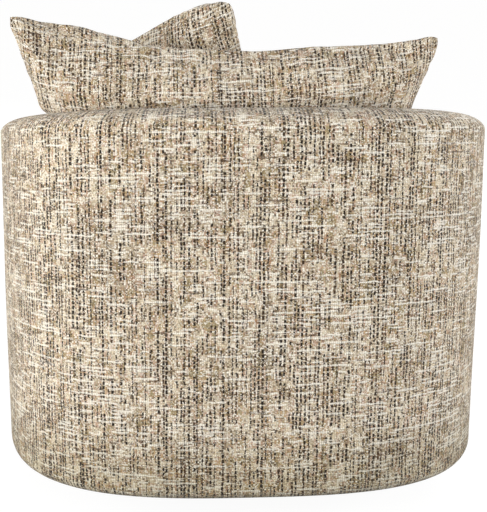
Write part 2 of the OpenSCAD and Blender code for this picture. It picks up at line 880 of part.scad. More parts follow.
module front_border() {
    color("tan")
        swept(wall_steps, all_steps, concat(
            hem_outside,
            [for (k = [0:3])
                [border_round * (1 - cos(30 * k)), deck_h - border_round * (1 - sin(30 * k)), 0]],
            [[border_lip, deck_h, 0], [border_lip, clip_z + seam_gap, 0], [cover_t, clip_z + seam_gap, 0]],
            hem_inside));
}
border_round = 16;
border_lip = 44;

// rounded pad that closes the end of an arm
nose_steps = 12;
nose_levels = [0, 22, 44, 62, 78];
module arm_front() {
    end = plan_point(arm_end_angle);
    out = plan_normal(arm_end_angle);
    along = [out[1], -out[0]];
    middle = end - out * wall_t / 2;
    top = rim_level(end[1]);
    function nose_ring(z, share) = [for (k = [0:nose_steps])
        let (p = middle + out * share * wall_t / 2 * cos(180 * k / nose_steps)
            + along * (seam_gap + share * wall_t / 2 * sin(180 * k / nose_steps)))
        [p[0], p[1], z]];
    rings = concat(
        [nose_ring(deck_h + seam_gap, 1)],
        [for (a = nose_levels) nose_ring(top - rim_round_h * (1 - sin(a)), cos(a))]);
    lofted(rings, [middle[0] + along[0], middle[1] + along[1], deck_h + seam_gap],
        [middle[0] + along[0], middle[1] + along[1], top]);
}

module left_arm_front() {
    color("tan")
        arm_front();
}

module right_arm_front() {
    color("tan")
        mirror([1, 0, 0])
            arm_front();
}

module dust_cover() {
    color("black")
        translate([0, 0, frame_low - dust_cover_t])
            linear_extrude(dust_cover_t)
                difference() {
                    polygon([for (i = [0:all_steps - 1])
                        inset_point(turn_at(i), hem_turn_under + seam_gap)]);
                    circle(r = dust_opening_r, $fn = 96);
                }
}

// seat cushion: follows the arms, then goes round their rounded ends to the front
seat_back_steps = 12;
seat_front_steps = 5;
seat_nose_turns = [18, 36, 54, 72, 90, 105];
function seat_outline(extra) =
    let (out = plan_normal(arm_end_angle),
         along = [out[1], -out[0]],
         nose = wall_t / 2 + seat_clearance,
         middle = inset_point(arm_end_angle, wall_t / 2),
         front_turn = arm_end_angle + (nose + seat_flare) / plan_radius(arm_end_angle) * 180 / PI,
         half = concat(
            [for (i = [0:seat_back_steps])
                inset_point(arm_end_angle * i / seat_back_steps, wall_t + seat_clearance + extra)],
            [for (a = seat_nose_turns) middle + (nose + extra) * (along * sin(a) - out * cos(a))],
            [for (i = [0:seat_front_steps])
                inset_point(front_turn + (180 - front_turn) * i / seat_front_steps,
                    seat_front_inset + extra)]),
         n = len(half))
    concat(half, [for (i = [n - 2:-1:1]) [-half[i][0], half[i][1]]]);

function seat_rings(skin) =
    let (low = deck_h + seam_gap + skin,
         side = seat_side_h - seam_gap - 2 * skin,
         edge = seat_outline(skin))
    concat(
        [for (s = seat_side_shares)
            [for (p = seat_outline(skin + seat_edge_round * s[1])) [p[0], p[1], low + side * s[0]]]],
        [for (s = seat_crown_shares)
            [for (p = edge) [seat_middle[0] + (p[0] - seat_middle[0]) * s[1],
                seat_middle[1] + (p[1] - seat_middle[1]) * s[1], low + side + seat_crown * s[0]]]]);
function seat_points(skin) = lofted_points(seat_rings(skin),
    [seat_middle[0], seat_middle[1], deck_h + seam_gap + skin],
    [seat_middle[0], seat_middle[1], seat_edge_h - skin + seat_crown]);

seat_sides = len(seat_rings(0)[0]);
seat_ring_count = len(seat_side_shares) + len(seat_crown_shares);
// the zip lies between two rings of the side, across the middle of the back
seat_zip_row = 2;
seat_zip_half = 2;
seat_patch = lofted_quads([seat_zip_row], [-seat_zip_half:seat_zip_half - 1], seat_sides);
seat_loop = concat(
    [for (j = [-seat_zip_half:seat_zip_half]) lofted_index(seat_zip_row, j, seat_sides)],
    [for (j = [seat_zip_half:-1:-seat_zip_half]) lofted_index(seat_zip_row + 1, j, seat_sides)]);
seat_kept = concat(
    lofted_quads([for (i = [0:seat_ring_count - 2]) if (i != seat_zip_row) i],
        [0:seat_sides - 1], seat_sides),
    lofted_quads([seat_zip_row], [seat_zip_half:seat_sides - seat_zip_half - 1], seat_sides),
    lofted_ends(seat_ring_count, seat_sides));

module seat_cushion_cover() {
    color("tan")
        open_skin(seat_points(0), seat_points(wrap_t), seat_kept, seat_loop);
}

module seat_cushion_zip() {
    color("saddlebrown")
        skin_patch(seat_points(0), seat_points(wrap_t), seat_patch, seat_loop);
}

module seat_cushion_core() {
    color("lightyellow")
        polyhedron(seat_points(wrap_t + seam_gap), concat(seat_patch, seat_kept));
}

// surface of two faces that meet in a seam round the edge
// the points are the rows of the front and then those of the back, and the seam takes the front's
// the diagonals run to the corners, so that no triangle lies on the seam alone
function two_faced_index(face, i, j, rows, cols) =
    (face == 0 || i == 0 || j == 0 || i == rows - 1 || j == cols - 1 ? 0 : rows * cols) + i * cols + j;
function two_faced_quads(face, across, up, rows, cols) = [for (i = up, j = across)
    let (a = two_faced_index(face, i, j, rows, cols), b = two_faced_index(face, i, j + 1, rows, cols),
        c = two_faced_index(face, i + 1, j + 1, rows, cols), d = two_faced_index(face, i + 1, j, rows, cols))
    let (outward = face == 0 ? [a, d, c, b] : [a, b, c, d], turned = [for (k = [1:4]) outward[k % 4]])
    each split_quad((i < rows / 2) == (j < cols / 2) ? outward : turned)];
// the zip takes the middle of the lowest row of the front, from one column to another
function two_faced_patch(first, last, rows, cols) = two_faced_quads(0, [first:last - 1], [0], rows, cols);
function two_faced_kept(first, last, rows, cols) = concat(
    two_faced_quads(0, [0:first - 1], [0], rows, cols),
    two_faced_quads(0, [last:cols - 2], [0], rows, cols),
    two_faced_quads(0, [0:cols - 2], [1:rows - 2], rows, cols),
    two_faced_quads(1, [0:cols - 2], [0:rows - 2], rows, cols));
function two_faced_loop(first, last, rows, cols) = concat(
    [first],
    [for (j = [first:last]) cols + j],
    [for (j = [last:-1:first + 1]) j]);

// fullness of a cushion, from 1 at its middle to 0 at its seam
function puff(u, v) = pow(max(0, (1 - u * u) * (1 - v * v)), puff_power);

// back cushion
function back_side_share(s) = lookup(s, back_side_shares);
function back_point(u, v, face, skin) =
    let (s = (v + 1) / 2,
         low = back_cushion_low_w / 2,
         draw = skin * seam_draw_share,
         half = low + (back_cushion_w / 2 - low) * back_side_share(s) - draw,
         x = half * u + back_cushion_shift * smooth((s - back_rim_share) / back_shift_share),
         ear = back_cushion_ear * pow(abs(u), ear_power)
             * smooth((s - ear_start_share) / (1 - ear_start_share)),
         z = draw + (back_cushion_h - 2 * draw) * s + ear + x * tan(back_cushion_roll) * s,
         y = back_cushion_y + back_cushion_lean * (s - 0.5) - back_cushion_wrap * u * u)
    [x, y - face * (back_cushion_t / 2 - skin) * puff(u, v),
        seat_edge_h + seat_crown * back_crown_share + z];

across_steps = 16;
up_steps = 12;
function sweep_share(i, steps) = sin(180 * i / steps - 90);
function back_points(skin) = [for (face = [1, -1], i = [0:up_steps], j = [0:across_steps])
    back_point(sweep_share(j, across_steps), sweep_share(i, up_steps), face, skin)];
back_zip = [5, 11];
back_patch = two_faced_patch(back_zip[0], back_zip[1], up_steps + 1, across_steps + 1);
back_kept = two_faced_kept(back_zip[0], back_zip[1], up_steps + 1, across_steps + 1);
back_loop = two_faced_loop(back_zip[0], back_zip[1], up_steps + 1, across_steps + 1);

module back_cushion_cover() {
    color("tan")
        open_skin(back_points(0), back_points(wrap_t), back_kept, back_loop);
}

module back_cushion_zip() {
    color("saddlebrown")
        skin_patch(back_points(0), back_points(wrap_t), back_patch, back_loop);
}

module back_cushion_fill() {
    color("lightyellow")
        polyhedron(back_points(wrap_t + seam_gap), concat(back_patch, back_kept));
}

// throw pillow: a square that stands on one corner beside the middle
pillow_steps = 12;
function pillow_point(u, v, face, skin) =
    let (half = pillow_w / 2 - skin * seam_draw_share)
    [u * (half - pillow_draw_in * (1 - v * v)), -face * (pillow_t / 2 - skin) * puff(u, v),
        v * (half - pillow_draw_in * (1 - u * u))];

function pillow_points(skin) = [for (face = [1, -1], i = [0:pillow_steps], j = [0:pillow_steps])
    pillow_point(sweep_share(j, pillow_steps), sweep_share(i, pillow_steps), face, skin)];
pillow_zip = [4, 8];
pillow_patch = two_faced_patch(pillow_zip[0], pillow_zip[1], pillow_steps + 1, pillow_steps + 1);
pillow_kept = two_faced_kept(pillow_zip[0], pillow_zip[1], pillow_steps + 1, pillow_steps + 1);
pillow_loop = two_faced_loop(pillow_zip[0], pillow_zip[1], pillow_steps + 1, pillow_steps + 1);

// its middle stands above the seat cushion by the height of its lowest corner below it
pillow_drop = pillow_w / 2 * (cos(pillow_turn) + sin(pillow_turn)) * cos(pillow_lean);
pillow_y = back_cushion_y - (back_cushion_t + pillow_t) / 2 - pillow_forward;
module pillow_placed() {
    translate([pillow_x, pillow_y, seat_edge_h + seat_crown * pillow_crown_share + pillow_drop])
        rotate([0, 0, -pillow_yaw])
            rotate([-pillow_lean, 0, 0])
                rotate([0, pillow_turn, 0])
                    children();
}

module throw_pillow_cover() {
    color("tan")
        pillow_placed()
            open_skin(pillow_points(0), pillow_points(wrap_t), pillow_kept, pillow_loop);
}

module throw_pillow_zip() {
    color("saddlebrown")
        pillow_placed()
            skin_patch(pillow_points(0), pillow_points(wrap_t), pillow_patch, pillow_loop);
}

module throw_pillow_fill() {
    color("lightyellow")
        pillow_placed()
            polyhedron(pillow_points(wrap_t + seam_gap), concat(pillow_patch, pillow_kept));
}

floor_glides();
base_ring();
base_bars();
lower_bearing_plate();
bearing_plate_bolts();
bearing_balls();
ball_cage();
king_bolt();
king_nut();
swivel_plate();
rocker_cradle();
cradle_rivets();
pivot_bushes();
pivot_shaft();
shaft_clips();
rocker_frame();
front_rocker_springs();
rear_rocker_springs();
rocker_screws();
cross_rails();
bottom_ring();
seat_ring();
lower_posts();
upper_posts();
top_rail();
corner_blocks();
seat_springs();
spring_clips();
deck_pad();
outside_board();
front_board();
back_webbing();
inside_pad();
rim_pad();
shell_cover();
left_arm_front();
right_arm_front();
front_border();
dust_cover();
seat_cushion_cover();
seat_cushion_zip();
seat_cushion_core();
back_cushion_cover();
back_cushion_zip();
back_cushion_fill();
throw_pillow_cover();
throw_pillow_zip();
throw_pillow_fill();
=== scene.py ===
import bmesh
import bpy
import numpy as np
from numpy import arange, array, broadcast_to, clip, concatenate, cos, exp, full, interp, linspace
from numpy import maximum, minimum, pi, radians, sin, stack
from functools import partialmethod
from numpy.linalg import norm
from mathutils import Matrix, Vector
from mathutils.bvhtree import BVHTree


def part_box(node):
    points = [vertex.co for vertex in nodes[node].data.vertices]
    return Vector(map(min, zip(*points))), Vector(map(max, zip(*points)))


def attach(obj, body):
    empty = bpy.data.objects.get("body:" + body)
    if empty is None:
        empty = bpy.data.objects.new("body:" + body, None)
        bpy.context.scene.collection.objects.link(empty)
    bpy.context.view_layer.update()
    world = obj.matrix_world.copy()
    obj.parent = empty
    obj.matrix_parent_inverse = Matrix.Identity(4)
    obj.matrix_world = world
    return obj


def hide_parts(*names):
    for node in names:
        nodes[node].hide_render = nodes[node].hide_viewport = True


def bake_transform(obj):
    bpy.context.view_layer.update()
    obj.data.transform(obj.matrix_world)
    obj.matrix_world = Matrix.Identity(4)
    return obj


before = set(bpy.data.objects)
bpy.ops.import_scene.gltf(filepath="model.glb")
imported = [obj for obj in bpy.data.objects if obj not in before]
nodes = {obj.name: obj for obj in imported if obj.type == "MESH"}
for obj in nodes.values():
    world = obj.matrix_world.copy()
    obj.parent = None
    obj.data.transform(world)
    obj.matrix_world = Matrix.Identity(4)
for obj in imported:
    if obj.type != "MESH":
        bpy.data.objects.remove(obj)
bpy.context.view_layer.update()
scene = bpy.context.scene
print("frame loaded:", len(nodes), "nodes")


# helpers for shapes

weldGap = 2e-5


class Sizes(dict):
    # a dictionary whose values are read as sizes.name
    __getattr__ = dict.__getitem__


def ease(low, high, value):
    # 0 below low, 1 above high, and a smooth cubic between them
    t = clip((value - low) / (high - low), 0, 1)
    return t * t * (3 - 2 * t)


def softNoise(a, b, seed):
    # mean of sine waves that run in fixed chance directions over (a, b), about -1 to 1
    waves = np.random.default_rng(seed).random((9, 3))
    total = 0
    for way, phase, pace in waves:
        along = a * cos(2 * pi * way) + b * sin(2 * pi * way)
        total = total + sin(along * (0.6 + 0.9 * pace) + 2 * pi * phase)
    return total / 5


def runLength(points):
    # distance along the first axis of a grid of points, from 0
    steps = norm(np.diff(points, axis=0), axis=-1)
    return concatenate([np.zeros_like(steps[:1]), np.cumsum(steps, axis=0)])


def laidFlat(points):
    # cloth coordinates of a panel: distances over the surface from its middle row and its middle column
    rows, cols = points.shape[0] // 2, points.shape[1] // 2
    up = runLength(points)
    across = runLength(points.swapaxes(0, 1)).T
    return pair(across - across[:, cols:cols + 1], up - up[rows:rows + 1])


def grid(rows, cols):
    return np.meshgrid(rows, cols, indexing="ij")


def raised(flat, height):
    # points in plan with their heights
    return concatenate([flat, height[..., None]], -1)


def pair(a, b):
    return stack([a, b], -1)


def unit(vectors):
    return vectors / norm(vectors, axis=-1, keepdims=True)


def addItem(name, data):
    item = bpy.data.objects.new(name, data)
    scene.collection.objects.link(item)
    return item


def finishMesh(name, points, faces, cloth, rules):
    # faces turned outwards, on a body, with a finish; where it has cloth coordinates, patches that touch are
    # welded, and open ends are filled where the rules ask for it
    material, body, slot, replaced, fill = rules
    mesh = bpy.data.meshes.new(name)
    mesh.from_pydata(points.tolist(), [], faces.tolist())
    if cloth is not None:
        mesh.uv_layers.new(name="cloth").data.foreach_set("uv", cloth.ravel().astype(np.float32))
    work = bmesh.new()
    work.from_mesh(mesh)
    if cloth is not None:
        bmesh.ops.remove_doubles(work, verts=work.verts, dist=weldGap)
    if fill:
        bmesh.ops.holes_fill(work, edges=[e for e in work.edges if e.is_boundary], sides=0)
    bmesh.ops.recalc_face_normals(work, faces=work.faces)
    work.to_mesh(mesh)
    work.free()
    if cloth is not None:
        mesh.polygons.foreach_set("use_smooth", np.ones(len(mesh.polygons), bool))
    mesh.materials.append(material)
    piece = addItem(name, mesh)
    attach(piece, body)
    if replaced:
        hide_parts(*replaced)
    return piece


def makePiece(name, patches, material, body, slot, replaced=(), fill=False):
    # each patch is a grid of points with a grid of cloth coordinates
    points, faces, cloth, start = [], [], [], 0
    for patch, uv in patches:
        rows, cols = patch.shape[:2]
        index = arange(rows * cols).reshape(rows, cols)
        quads = stack([index[:-1, :-1], index[:-1, 1:], index[1:, 1:], index[1:, :-1]], -1).reshape(-1, 4)
        points.append(patch.reshape(-1, 3))
        faces.append(quads + start)
        cloth.append(uv.reshape(-1, 2)[quads])
        start += rows * cols
    points, faces, cloth = (concatenate(group) for group in (points, faces, cloth))
    return finishMesh(name, points, faces, cloth, (material, body, slot, replaced, fill))


def tube(path, radius, sides):
    # circle carried along a path, square to it, turned as little as possible
    ahead = unit(np.gradient(path, axis=0))
    across = np.cross(ahead, [0.0, 0.0, 1.0])
    across /= maximum(norm(across, axis=1, keepdims=True), 1e-9)
    other = np.cross(across, ahead)
    turn = linspace(0, 2 * pi, sides + 1)
    ring = across[:, None] * cos(turn)[None, :, None] + other[:, None] * sin(turn)[None, :, None]
    radius = broadcast_to(radius, len(path))
    return path[:, None] + ring * radius[:, None, None]


def makeBricks(name, centres, sides, material, body, slot):
    # one small box at each centre, with its three half sides given as arrays of vectors
    signs = array([[a, b, c] for a in (-1, 1) for b in (-1, 1) for c in (-1, 1)])
    corners = centres[:, None]
    for k, side in enumerate(sides):
        corners = corners + signs[None, :, k, None] * side[:, None]
    box = array([[0, 1, 3, 2], [4, 6, 7, 5], [0, 4, 5, 1], [2, 3, 7, 6], [0, 2, 6, 4], [1, 5, 7, 3]])
    faces = (box[None] + 8 * arange(len(centres))[:, None, None]).reshape(-1, 4)
    return finishMesh(name, corners.reshape(-1, 3), faces, None, (material, body, slot, (), False))


# helpers for materials

class Wire:
    # a node's output, which takes part in sums as a number does
    def __init__(self, tree, socket):
        self.tree, self.socket = tree, socket

    def math(self, operation, *others):
        return mathNode(self.tree, operation, self, *others)

    __add__ = partialmethod(math, "ADD")
    __sub__ = partialmethod(math, "SUBTRACT")
    __mul__ = partialmethod(math, "MULTIPLY")
    __truediv__ = partialmethod(math, "DIVIDE")
    floor = partialmethod(math, "FLOOR")
    fract = partialmethod(math, "FRACT")

    def __rsub__(self, number):
        return mathNode(self.tree, "SUBTRACT", number, self)

    def fromMiddle(self, middle=0.5):
        return (self - middle).math("ABSOLUTE")


def put(tree, socket, value):
    if isinstance(value, Wire):
        tree.links.new(value.socket, socket)
    else:
        socket.default_value = value


def mathNode(tree, operation, *values):
    node = tree.nodes.new("ShaderNodeMath")
    node.operation = operation
    for socket, value in zip(node.inputs, values):
        put(tree, socket, value)
    return Wire(tree, node.outputs[0])


class Finish:
    # one material, with short calls for its nodes
    def __init__(self, name):
        self.material = bpy.data.materials.new(name)
        self.material.use_nodes = True
        self.tree = self.material.node_tree
        self.shader = self.tree.nodes["Principled BSDF"]

    def node(self, kind, output=0, values=(), **settings):
        # a new node with its settings and its inputs by name or number, and one of its outputs
        node = self.tree.nodes.new(kind)
        for name, value in settings.items():
            setattr(node, name, value)
        for name, value in dict(values).items():
            put(self.tree, node.inputs[name], value)
        return Wire(self.tree, node.outputs[output])

    def join(self, x, y):
        return self.node("ShaderNodeCombineXYZ", values={"X": x, "Y": y})

    def noise(self, vector, scale=1.0, detail=2.0, rough=0.5, size="2D"):
        values = {"Vector": vector, "Scale": scale, "Detail": detail, "Roughness": rough}
        return self.node("ShaderNodeTexNoise", values=values, noise_dimensions=size)

    def threads(self, x, y, detail=2.0, scale=1.0, rough=0.5):
        # noise over two numbers that were scaled apart, so that its spots are drawn out one way
        return self.noise(self.join(x, y), scale, detail, rough)

    def chance(self, x, y):
        return self.node("ShaderNodeTexWhiteNoise", "Value", {"Vector": self.join(x, y)}, noise_dimensions="2D")

    def ease(self, value, low, high, fromValue=0.0, toValue=1.0):
        values = {"Value": value, "From Min": low, "From Max": high, "To Min": fromValue, "To Max": toValue}
        return self.node("ShaderNodeMapRange", values=values, interpolation_type="SMOOTHSTEP")

    def mix(self, share, a, b, kind="MIX"):
        values = {"Factor": share, 6: a, 7: b}
        return self.node("ShaderNodeMix", 2, values, data_type="RGBA", blend_type=kind)

    def ramp(self, share, stops):
        node = self.tree.nodes.new("ShaderNodeValToRGB")
        marks = node.color_ramp.elements
        while len(marks) < len(stops):
            marks.new(0.5)
        for mark, (place, colour) in zip(marks, stops):
            mark.position = place
            mark.color = colour
        put(self.tree, node.inputs[0], share)
        return Wire(self.tree, node.outputs[0])

    def bump(self, height, depth, strength=1.0):
        values = {"Height": height, "Distance": depth, "Strength": strength}
        put(self.tree, self.shader.inputs["Normal"], self.node("ShaderNodeBump", values=values))

    def set(self, **values):
        for name, value in values.items():
            put(self.tree, self.shader.inputs[name.replace("_", " ")], value)

    def place(self):
        return self.node("ShaderNodeTexCoord", "Object")

    def solid(self, scale, detail, rough=0.5, stretch=None):
        # noise through the piece, drawn out along an axis where a stretch is given
        vector = self.place()
        if stretch:
            vector = self.node("ShaderNodeMapping", values={"Vector": vector, "Scale": stretch})
        return self.noise(vector, scale, detail, rough, "3D")

    def cloth(self):
        # distances over the cloth in metres, across and up
        flat = self.node("ShaderNodeUVMap", uv_map="cloth")
        return [self.node("ShaderNodeSeparateXYZ", name, {"Vector": flat}) for name in ("X", "Y")]


def shade(red, green, blue, darker=1.0):
    # a screen colour from 0 to 255 as the linear colour that a shader takes
    screen = array([red, green, blue]) / 255
    linear = np.where(screen <= 0.04045, screen / 12.92, ((screen + 0.055) / 1.055) ** 2.4)
    return (*(linear * darker).tolist(), 1.0)


tweed = Sizes(
    warpPitch=0.0033, weftPitch=0.0030, fibrePitch=0.0018, sway=(0.0040, 0.0044), darkPitch=0.0074,
    darkRun=24.0, darkAmount=0.440, darkHalf=0.215, slubPitch=0.0068, slubRun=19.0, slubAmount=0.560,
    slubHalf=0.20, darkWeftAmount=0.66, yarnRun=85.0, patchAcross=12.0, patchUp=9.0, beadPitch=0.0084,
    taupe=shade(96, 79, 56), khaki=shade(148, 125, 92), rose=shade(203, 171, 151), tan=shade(198, 170, 126),
    beige=shade(211, 192, 164), olive=shade(172, 157, 120), grey=shade(210, 197, 170),
    cream=shade(235, 221, 193), white=shade(255, 251, 241), dark=shade(23, 17, 10), brown=shade(80, 57, 35),
    # dust: the colour that multiplies the cloth near the floor as painted shade
    rust=shade(170, 118, 74), dust=shade(220, 219, 210), bumpDepth=0.0016,
)


def makeTweed(name, shift, paintedShade=0.0, t=tweed):
    # a loose basket of mottled yarns, with broken dark warps and pale slubs of weft laid over it
    f = Finish(name)
    u0, v0 = f.cloth()
    u0, v0 = u0 + shift, v0 + shift * 1.7
    plain = f.join(u0, v0)
    # the yarns waver by about a millimetre
    swayU = f.threads(u0 * 30.0, v0 * 55.0)
    swayV = f.threads(u0 * 55.0, v0 * 30.0, scale=1.3)
    u = u0 + (swayU - 0.5) * t.sway[0]
    v = v0 + (swayV - 0.5) * t.sway[1]
    fibre = f.chance((u / t.fibrePitch).floor(), (v / t.fibrePitch).floor())
    rough = (fibre - 0.5) * 0.16

    # each yarn keeps its own shade for a run, and warp and weft lie on top by turns
    a, b = u / t.warpPitch, v / t.weftPitch
    warp, weft = a.floor(), b.floor()
    warpStart = f.chance(warp, 31.0) * 7.0
    weftStart = f.chance(weft, 47.0) * 7.0
    warpRun = f.chance(warp, (v0 * t.yarnRun + warpStart).floor())
    weftRun = f.chance((u0 * t.yarnRun + weftStart).floor(), weft + 0.37)
    swapped = (warp + weft + 20000.0).math("MODULO", 2.0)
    crossing = warpRun * swapped + weftRun * (1.0 - swapped)
    crossing = crossing * 0.80 + f.chance(warp, weft) * 0.20
    # tints that follow bands of yarns
    warpTint = f.threads(warp * 0.17, v0 * t.patchUp, 3.0)
    weftTint = f.threads(u0 * t.patchAcross, weft * 0.17, 3.0)
    warpYarn = f.chance(warp, (v0 * 21.0).floor())
    tint = warpTint * 0.50 + weftTint * 0.50 + (warpYarn - 0.5) * 0.14
    ground = f.ramp(f.ease(tint, 0.34, 0.66), [
        (0.0, t.olive), (0.18, t.tan), (0.36, t.rose), (0.50, t.beige), (0.66, t.grey),
        (0.84, t.cream), (1.0, t.beige)])
    for value, low, high, most, colour in (
            (f.noise(plain, 5.0), 0.44, 0.30, 0.24, "taupe"),
            (f.noise(plain, 16.0), 0.52, 0.66, 0.30, "khaki"),
            (warpYarn * swayV, 0.56, 0.62, 0.7, "rust"),
            (crossing, 0.34, 0.08, 0.86, "taupe"),
            (crossing, 0.62, 0.92, 0.86, "white"),
            (fibre, 0.28, 0.0, 0.55, "taupe"),
            (fibre, 0.70, 0.95, 0.72, "white")):
        ground = f.mix(f.ease(value, low, high, 0.0, most), ground, t[colour])

    # dark warps: in each wide column one thick yarn that comes and goes, beaded where weft passes over it
    c = u / t.darkPitch
    column = c.floor()
    columnChance = f.chance(column, 3.0)
    apart = (c.fract() - 0.5).fromMiddle((columnChance - 0.5) * 0.44)
    thick = f.chance(column, 9.0) * 0.16 + (t.darkHalf - 0.08)
    stripe = f.ease(apart - thick + rough, 0.06, -0.05)
    crowd = f.noise(plain, 9.0, 1.0)
    run = f.threads(column * 5.37, v0 * t.darkRun, 2.5, rough=0.6)
    run = run + (crowd - 0.5) * 0.24 + (columnChance - 0.5) * 0.12
    present = f.ease(run, t.darkAmount, t.darkAmount + 0.035)
    bead = f.ease((v / t.beadPitch + columnChance * 7.0).fract().fromMiddle(), 0.46, 0.32, 0.18, 1.0)
    loose = f.ease(f.chance(column, weft), 0.0, 0.30, 0.25, 1.0)
    darkShare = stripe * present * (bead * loose)
    darkTone = f.ramp(f.threads(column * 3.1, v0 * 18.0), [(0.52, t.dark), (0.76, t.brown)])

    # pale slubs: thick soft weft in short runs, and a few dark runs
    r = v / t.slubPitch
    row = r.floor()
    rowApart = (r.fract() - 0.5).fromMiddle((f.chance(row, 17.0) - 0.5) * 0.5)
    rowThick = f.threads(u0 * 90.0, row * 2.3, 1.0) * (t.slubHalf * 2)
    rowStripe = f.ease(rowApart - rowThick + rough, 0.08, -0.06)
    rowRun = f.threads(u0 * t.slubRun, row * 6.73)
    bright = (f.noise(plain, 7.0, 1.0) - 0.5) * -0.26
    rowPresent = f.ease(rowRun + bright, t.slubAmount, t.slubAmount + 0.04)
    under = f.ease(a.fract().fromMiddle(), 0.50, 0.34, 0.45, 1.0)
    slubShare = rowStripe * rowPresent * under
    darkRow = f.threads(u0 * 15.0, row * 3.91)
    darkWeft = rowStripe * f.ease(darkRow, t.darkWeftAmount, t.darkWeftAmount + 0.04)
    darkWeft = darkWeft * f.ease(crossing, 0.2, 0.5, 0.15, 0.8)

    colour = f.mix(slubShare * 0.92, ground, t.white)
    colour = f.mix(darkWeft, colour, t.brown)
    colour = f.mix(darkShare * (1.0 - slubShare * 0.70), colour, darkTone)

    # yarns stand out round, with the one on top higher, and painted shade darkens the gaps between them
    knot = (a.fract() * pi).math("SINE") * (b.fract() * pi).math("SINE")
    height = knot * (swapped * 0.25 + 0.62) + crossing * 0.22 + slubShare * 0.45 + darkShare * 0.30
    # painted shade: brown in the gaps between yarns, plus an even share of brown over all the cloth for the
    # shaded cushion copies
    colour = f.mix(f.ease(knot, 0.35, 0.0, paintedShade, 0.38 + paintedShade), colour, t.brown)
    # painted shade: the cloth is darkened towards the floor, multiplied by the colour named dust
    level = f.node("ShaderNodeSeparateXYZ", "Z", {"Vector": f.place()})
    colour = f.mix(f.ease(level, 0.23, 0.07), colour, t.dust, "MULTIPLY")
    f.set(Base_Color=colour, Roughness=f.ease(slubShare, 0.0, 1.0, 0.92, 0.80),
          Sheen_Weight=0.20, Sheen_Roughness=0.45, Specular_IOR_Level=0.25)
    f.bump(height, t.bumpDepth, 0.8)
    return f.material


def makePaint(name, tones, roughness):
    # powder coat: fine orange peel over an even colour, dustier in patches
    f = Finish(name)
    dust = f.solid(14.0, 4.0, 0.6)
    f.set(Base_Color=f.mix(f.ease(dust, 0.45, 0.75, 0.0, 0.18), shade(*tones), shade(120, 116, 108)),
          Roughness=f.ease(dust, 0.3, 0.7, roughness, roughness + 0.18), Specular_IOR_Level=0.5)
    f.bump(f.solid(900.0, 2.0), 0.0002, 0.5)
    return f.material


def makeMetal(name, tones, roughness, stretch):
    # plated or drawn steel: cloudy plating with fine streaks
    f = Finish(name)
    streaks = f.solid(160.0, 3.0, 0.6, stretch)
    cloud = f.ease(f.solid(24.0, 3.0, 0.55), 0.35, 0.7)
    f.set(Base_Color=f.mix(cloud, shade(*tones), shade(*tones, 0.72)), Metallic=1.0,
          Roughness=f.ease(streaks, 0.3, 0.7, roughness - 0.06, roughness + 0.12))
    f.bump(streaks, 0.0001, 0.5)
    return f.material


def makePlastic(name, tones, roughness):
    # moulded plastic with a fine grain and faint flow marks
    f = Finish(name)
    flow = f.solid(35.0, 2.0)
    f.set(Base_Color=f.mix(f.ease(flow, 0.4, 0.7, 0.0, 0.6), shade(*tones), shade(*tones, 0.8)),
          Roughness=f.ease(flow, 0.3, 0.7, roughness, roughness + 0.1))
    f.bump(f.solid(1400.0, 2.0), 0.0001, 0.6)
    return f.material


def makeWood(name, pale, dark, stretch):
    # sawn wood: long grain from stretched noise, with saw marks in the bump
    f = Finish(name)
    grain = f.solid(30.0, 5.0, 0.65, stretch)
    pores = f.solid(220.0, 2.0, 0.5, stretch)
    colour = f.mix(f.ease(grain, 0.38, 0.66), shade(*pale), shade(*dark))
    colour = f.mix(f.ease(pores, 0.58, 0.7, 0.0, 0.5), colour, shade(*dark))
    f.set(Base_Color=colour, Roughness=f.ease(grain, 0.3, 0.7, 0.62, 0.8))
    f.bump(grain + pores * 0.5, 0.0006, 0.6)
    return f.material


def makeSoft(name, tones, size, depth):
    # wadding, foam and webbing: tangled fibres as fine ridged noise
    f = Finish(name)
    fibres = f.solid(size, 6.0, 0.75)
    mats = f.solid(size / 9, 3.0, 0.6)
    f.set(Base_Color=f.mix(f.ease(fibres + mats, 0.75, 1.25), shade(*tones, 0.7), shade(*tones)),
          Roughness=f.ease(mats, 0.3, 0.7, 0.85, 0.97), Sheen_Weight=0.2, Specular_IOR_Level=0.2)
    f.bump(fibres, depth, 0.8)
    return f.material


def makeTape(name, pale, dark):
    # herringbone tape: slanting ribs that turn back every 2 mm
    f = Finish(name)
    u, v = f.cloth()
    bands = (v * 500.0).math("PINGPONG", 1.0)
    ribs = ((u * 1000.0 + bands) * 6.0).math("SINE")
    f.set(Base_Color=f.mix(f.ease(ribs, -1.0, 1.0), shade(*dark), shade(*pale)),
          Roughness=f.ease(ribs, -1.0, 1.0, 0.9, 0.8), Sheen_Weight=0.15)
    f.bump(ribs, 0.0003, 0.7)
    return f.material


def makeWeave(name, pale, dark, pitch):
    # plain weave: threads pass over and under, with slubs of uneven tone
    f = Finish(name)
    u, v = f.cloth()
    knot = (u * (pi / pitch)).math("SINE") * (v * (pi / pitch)).math("SINE")
    thread = f.threads(u * 40.0, v * 900.0)
    tone = thread + f.threads(u * 900.0, v * 40.0) + knot * 0.3
    f.set(Base_Color=f.mix(f.ease(tone, 0.6, 1.5), shade(*dark), shade(*pale)),
          Roughness=f.ease(knot, -1.0, 1.0, 0.95, 0.85), Sheen_Weight=0.15, Specular_IOR_Level=0.2)
    f.bump(knot + thread, pitch * 0.3, 0.7)
    return f.material


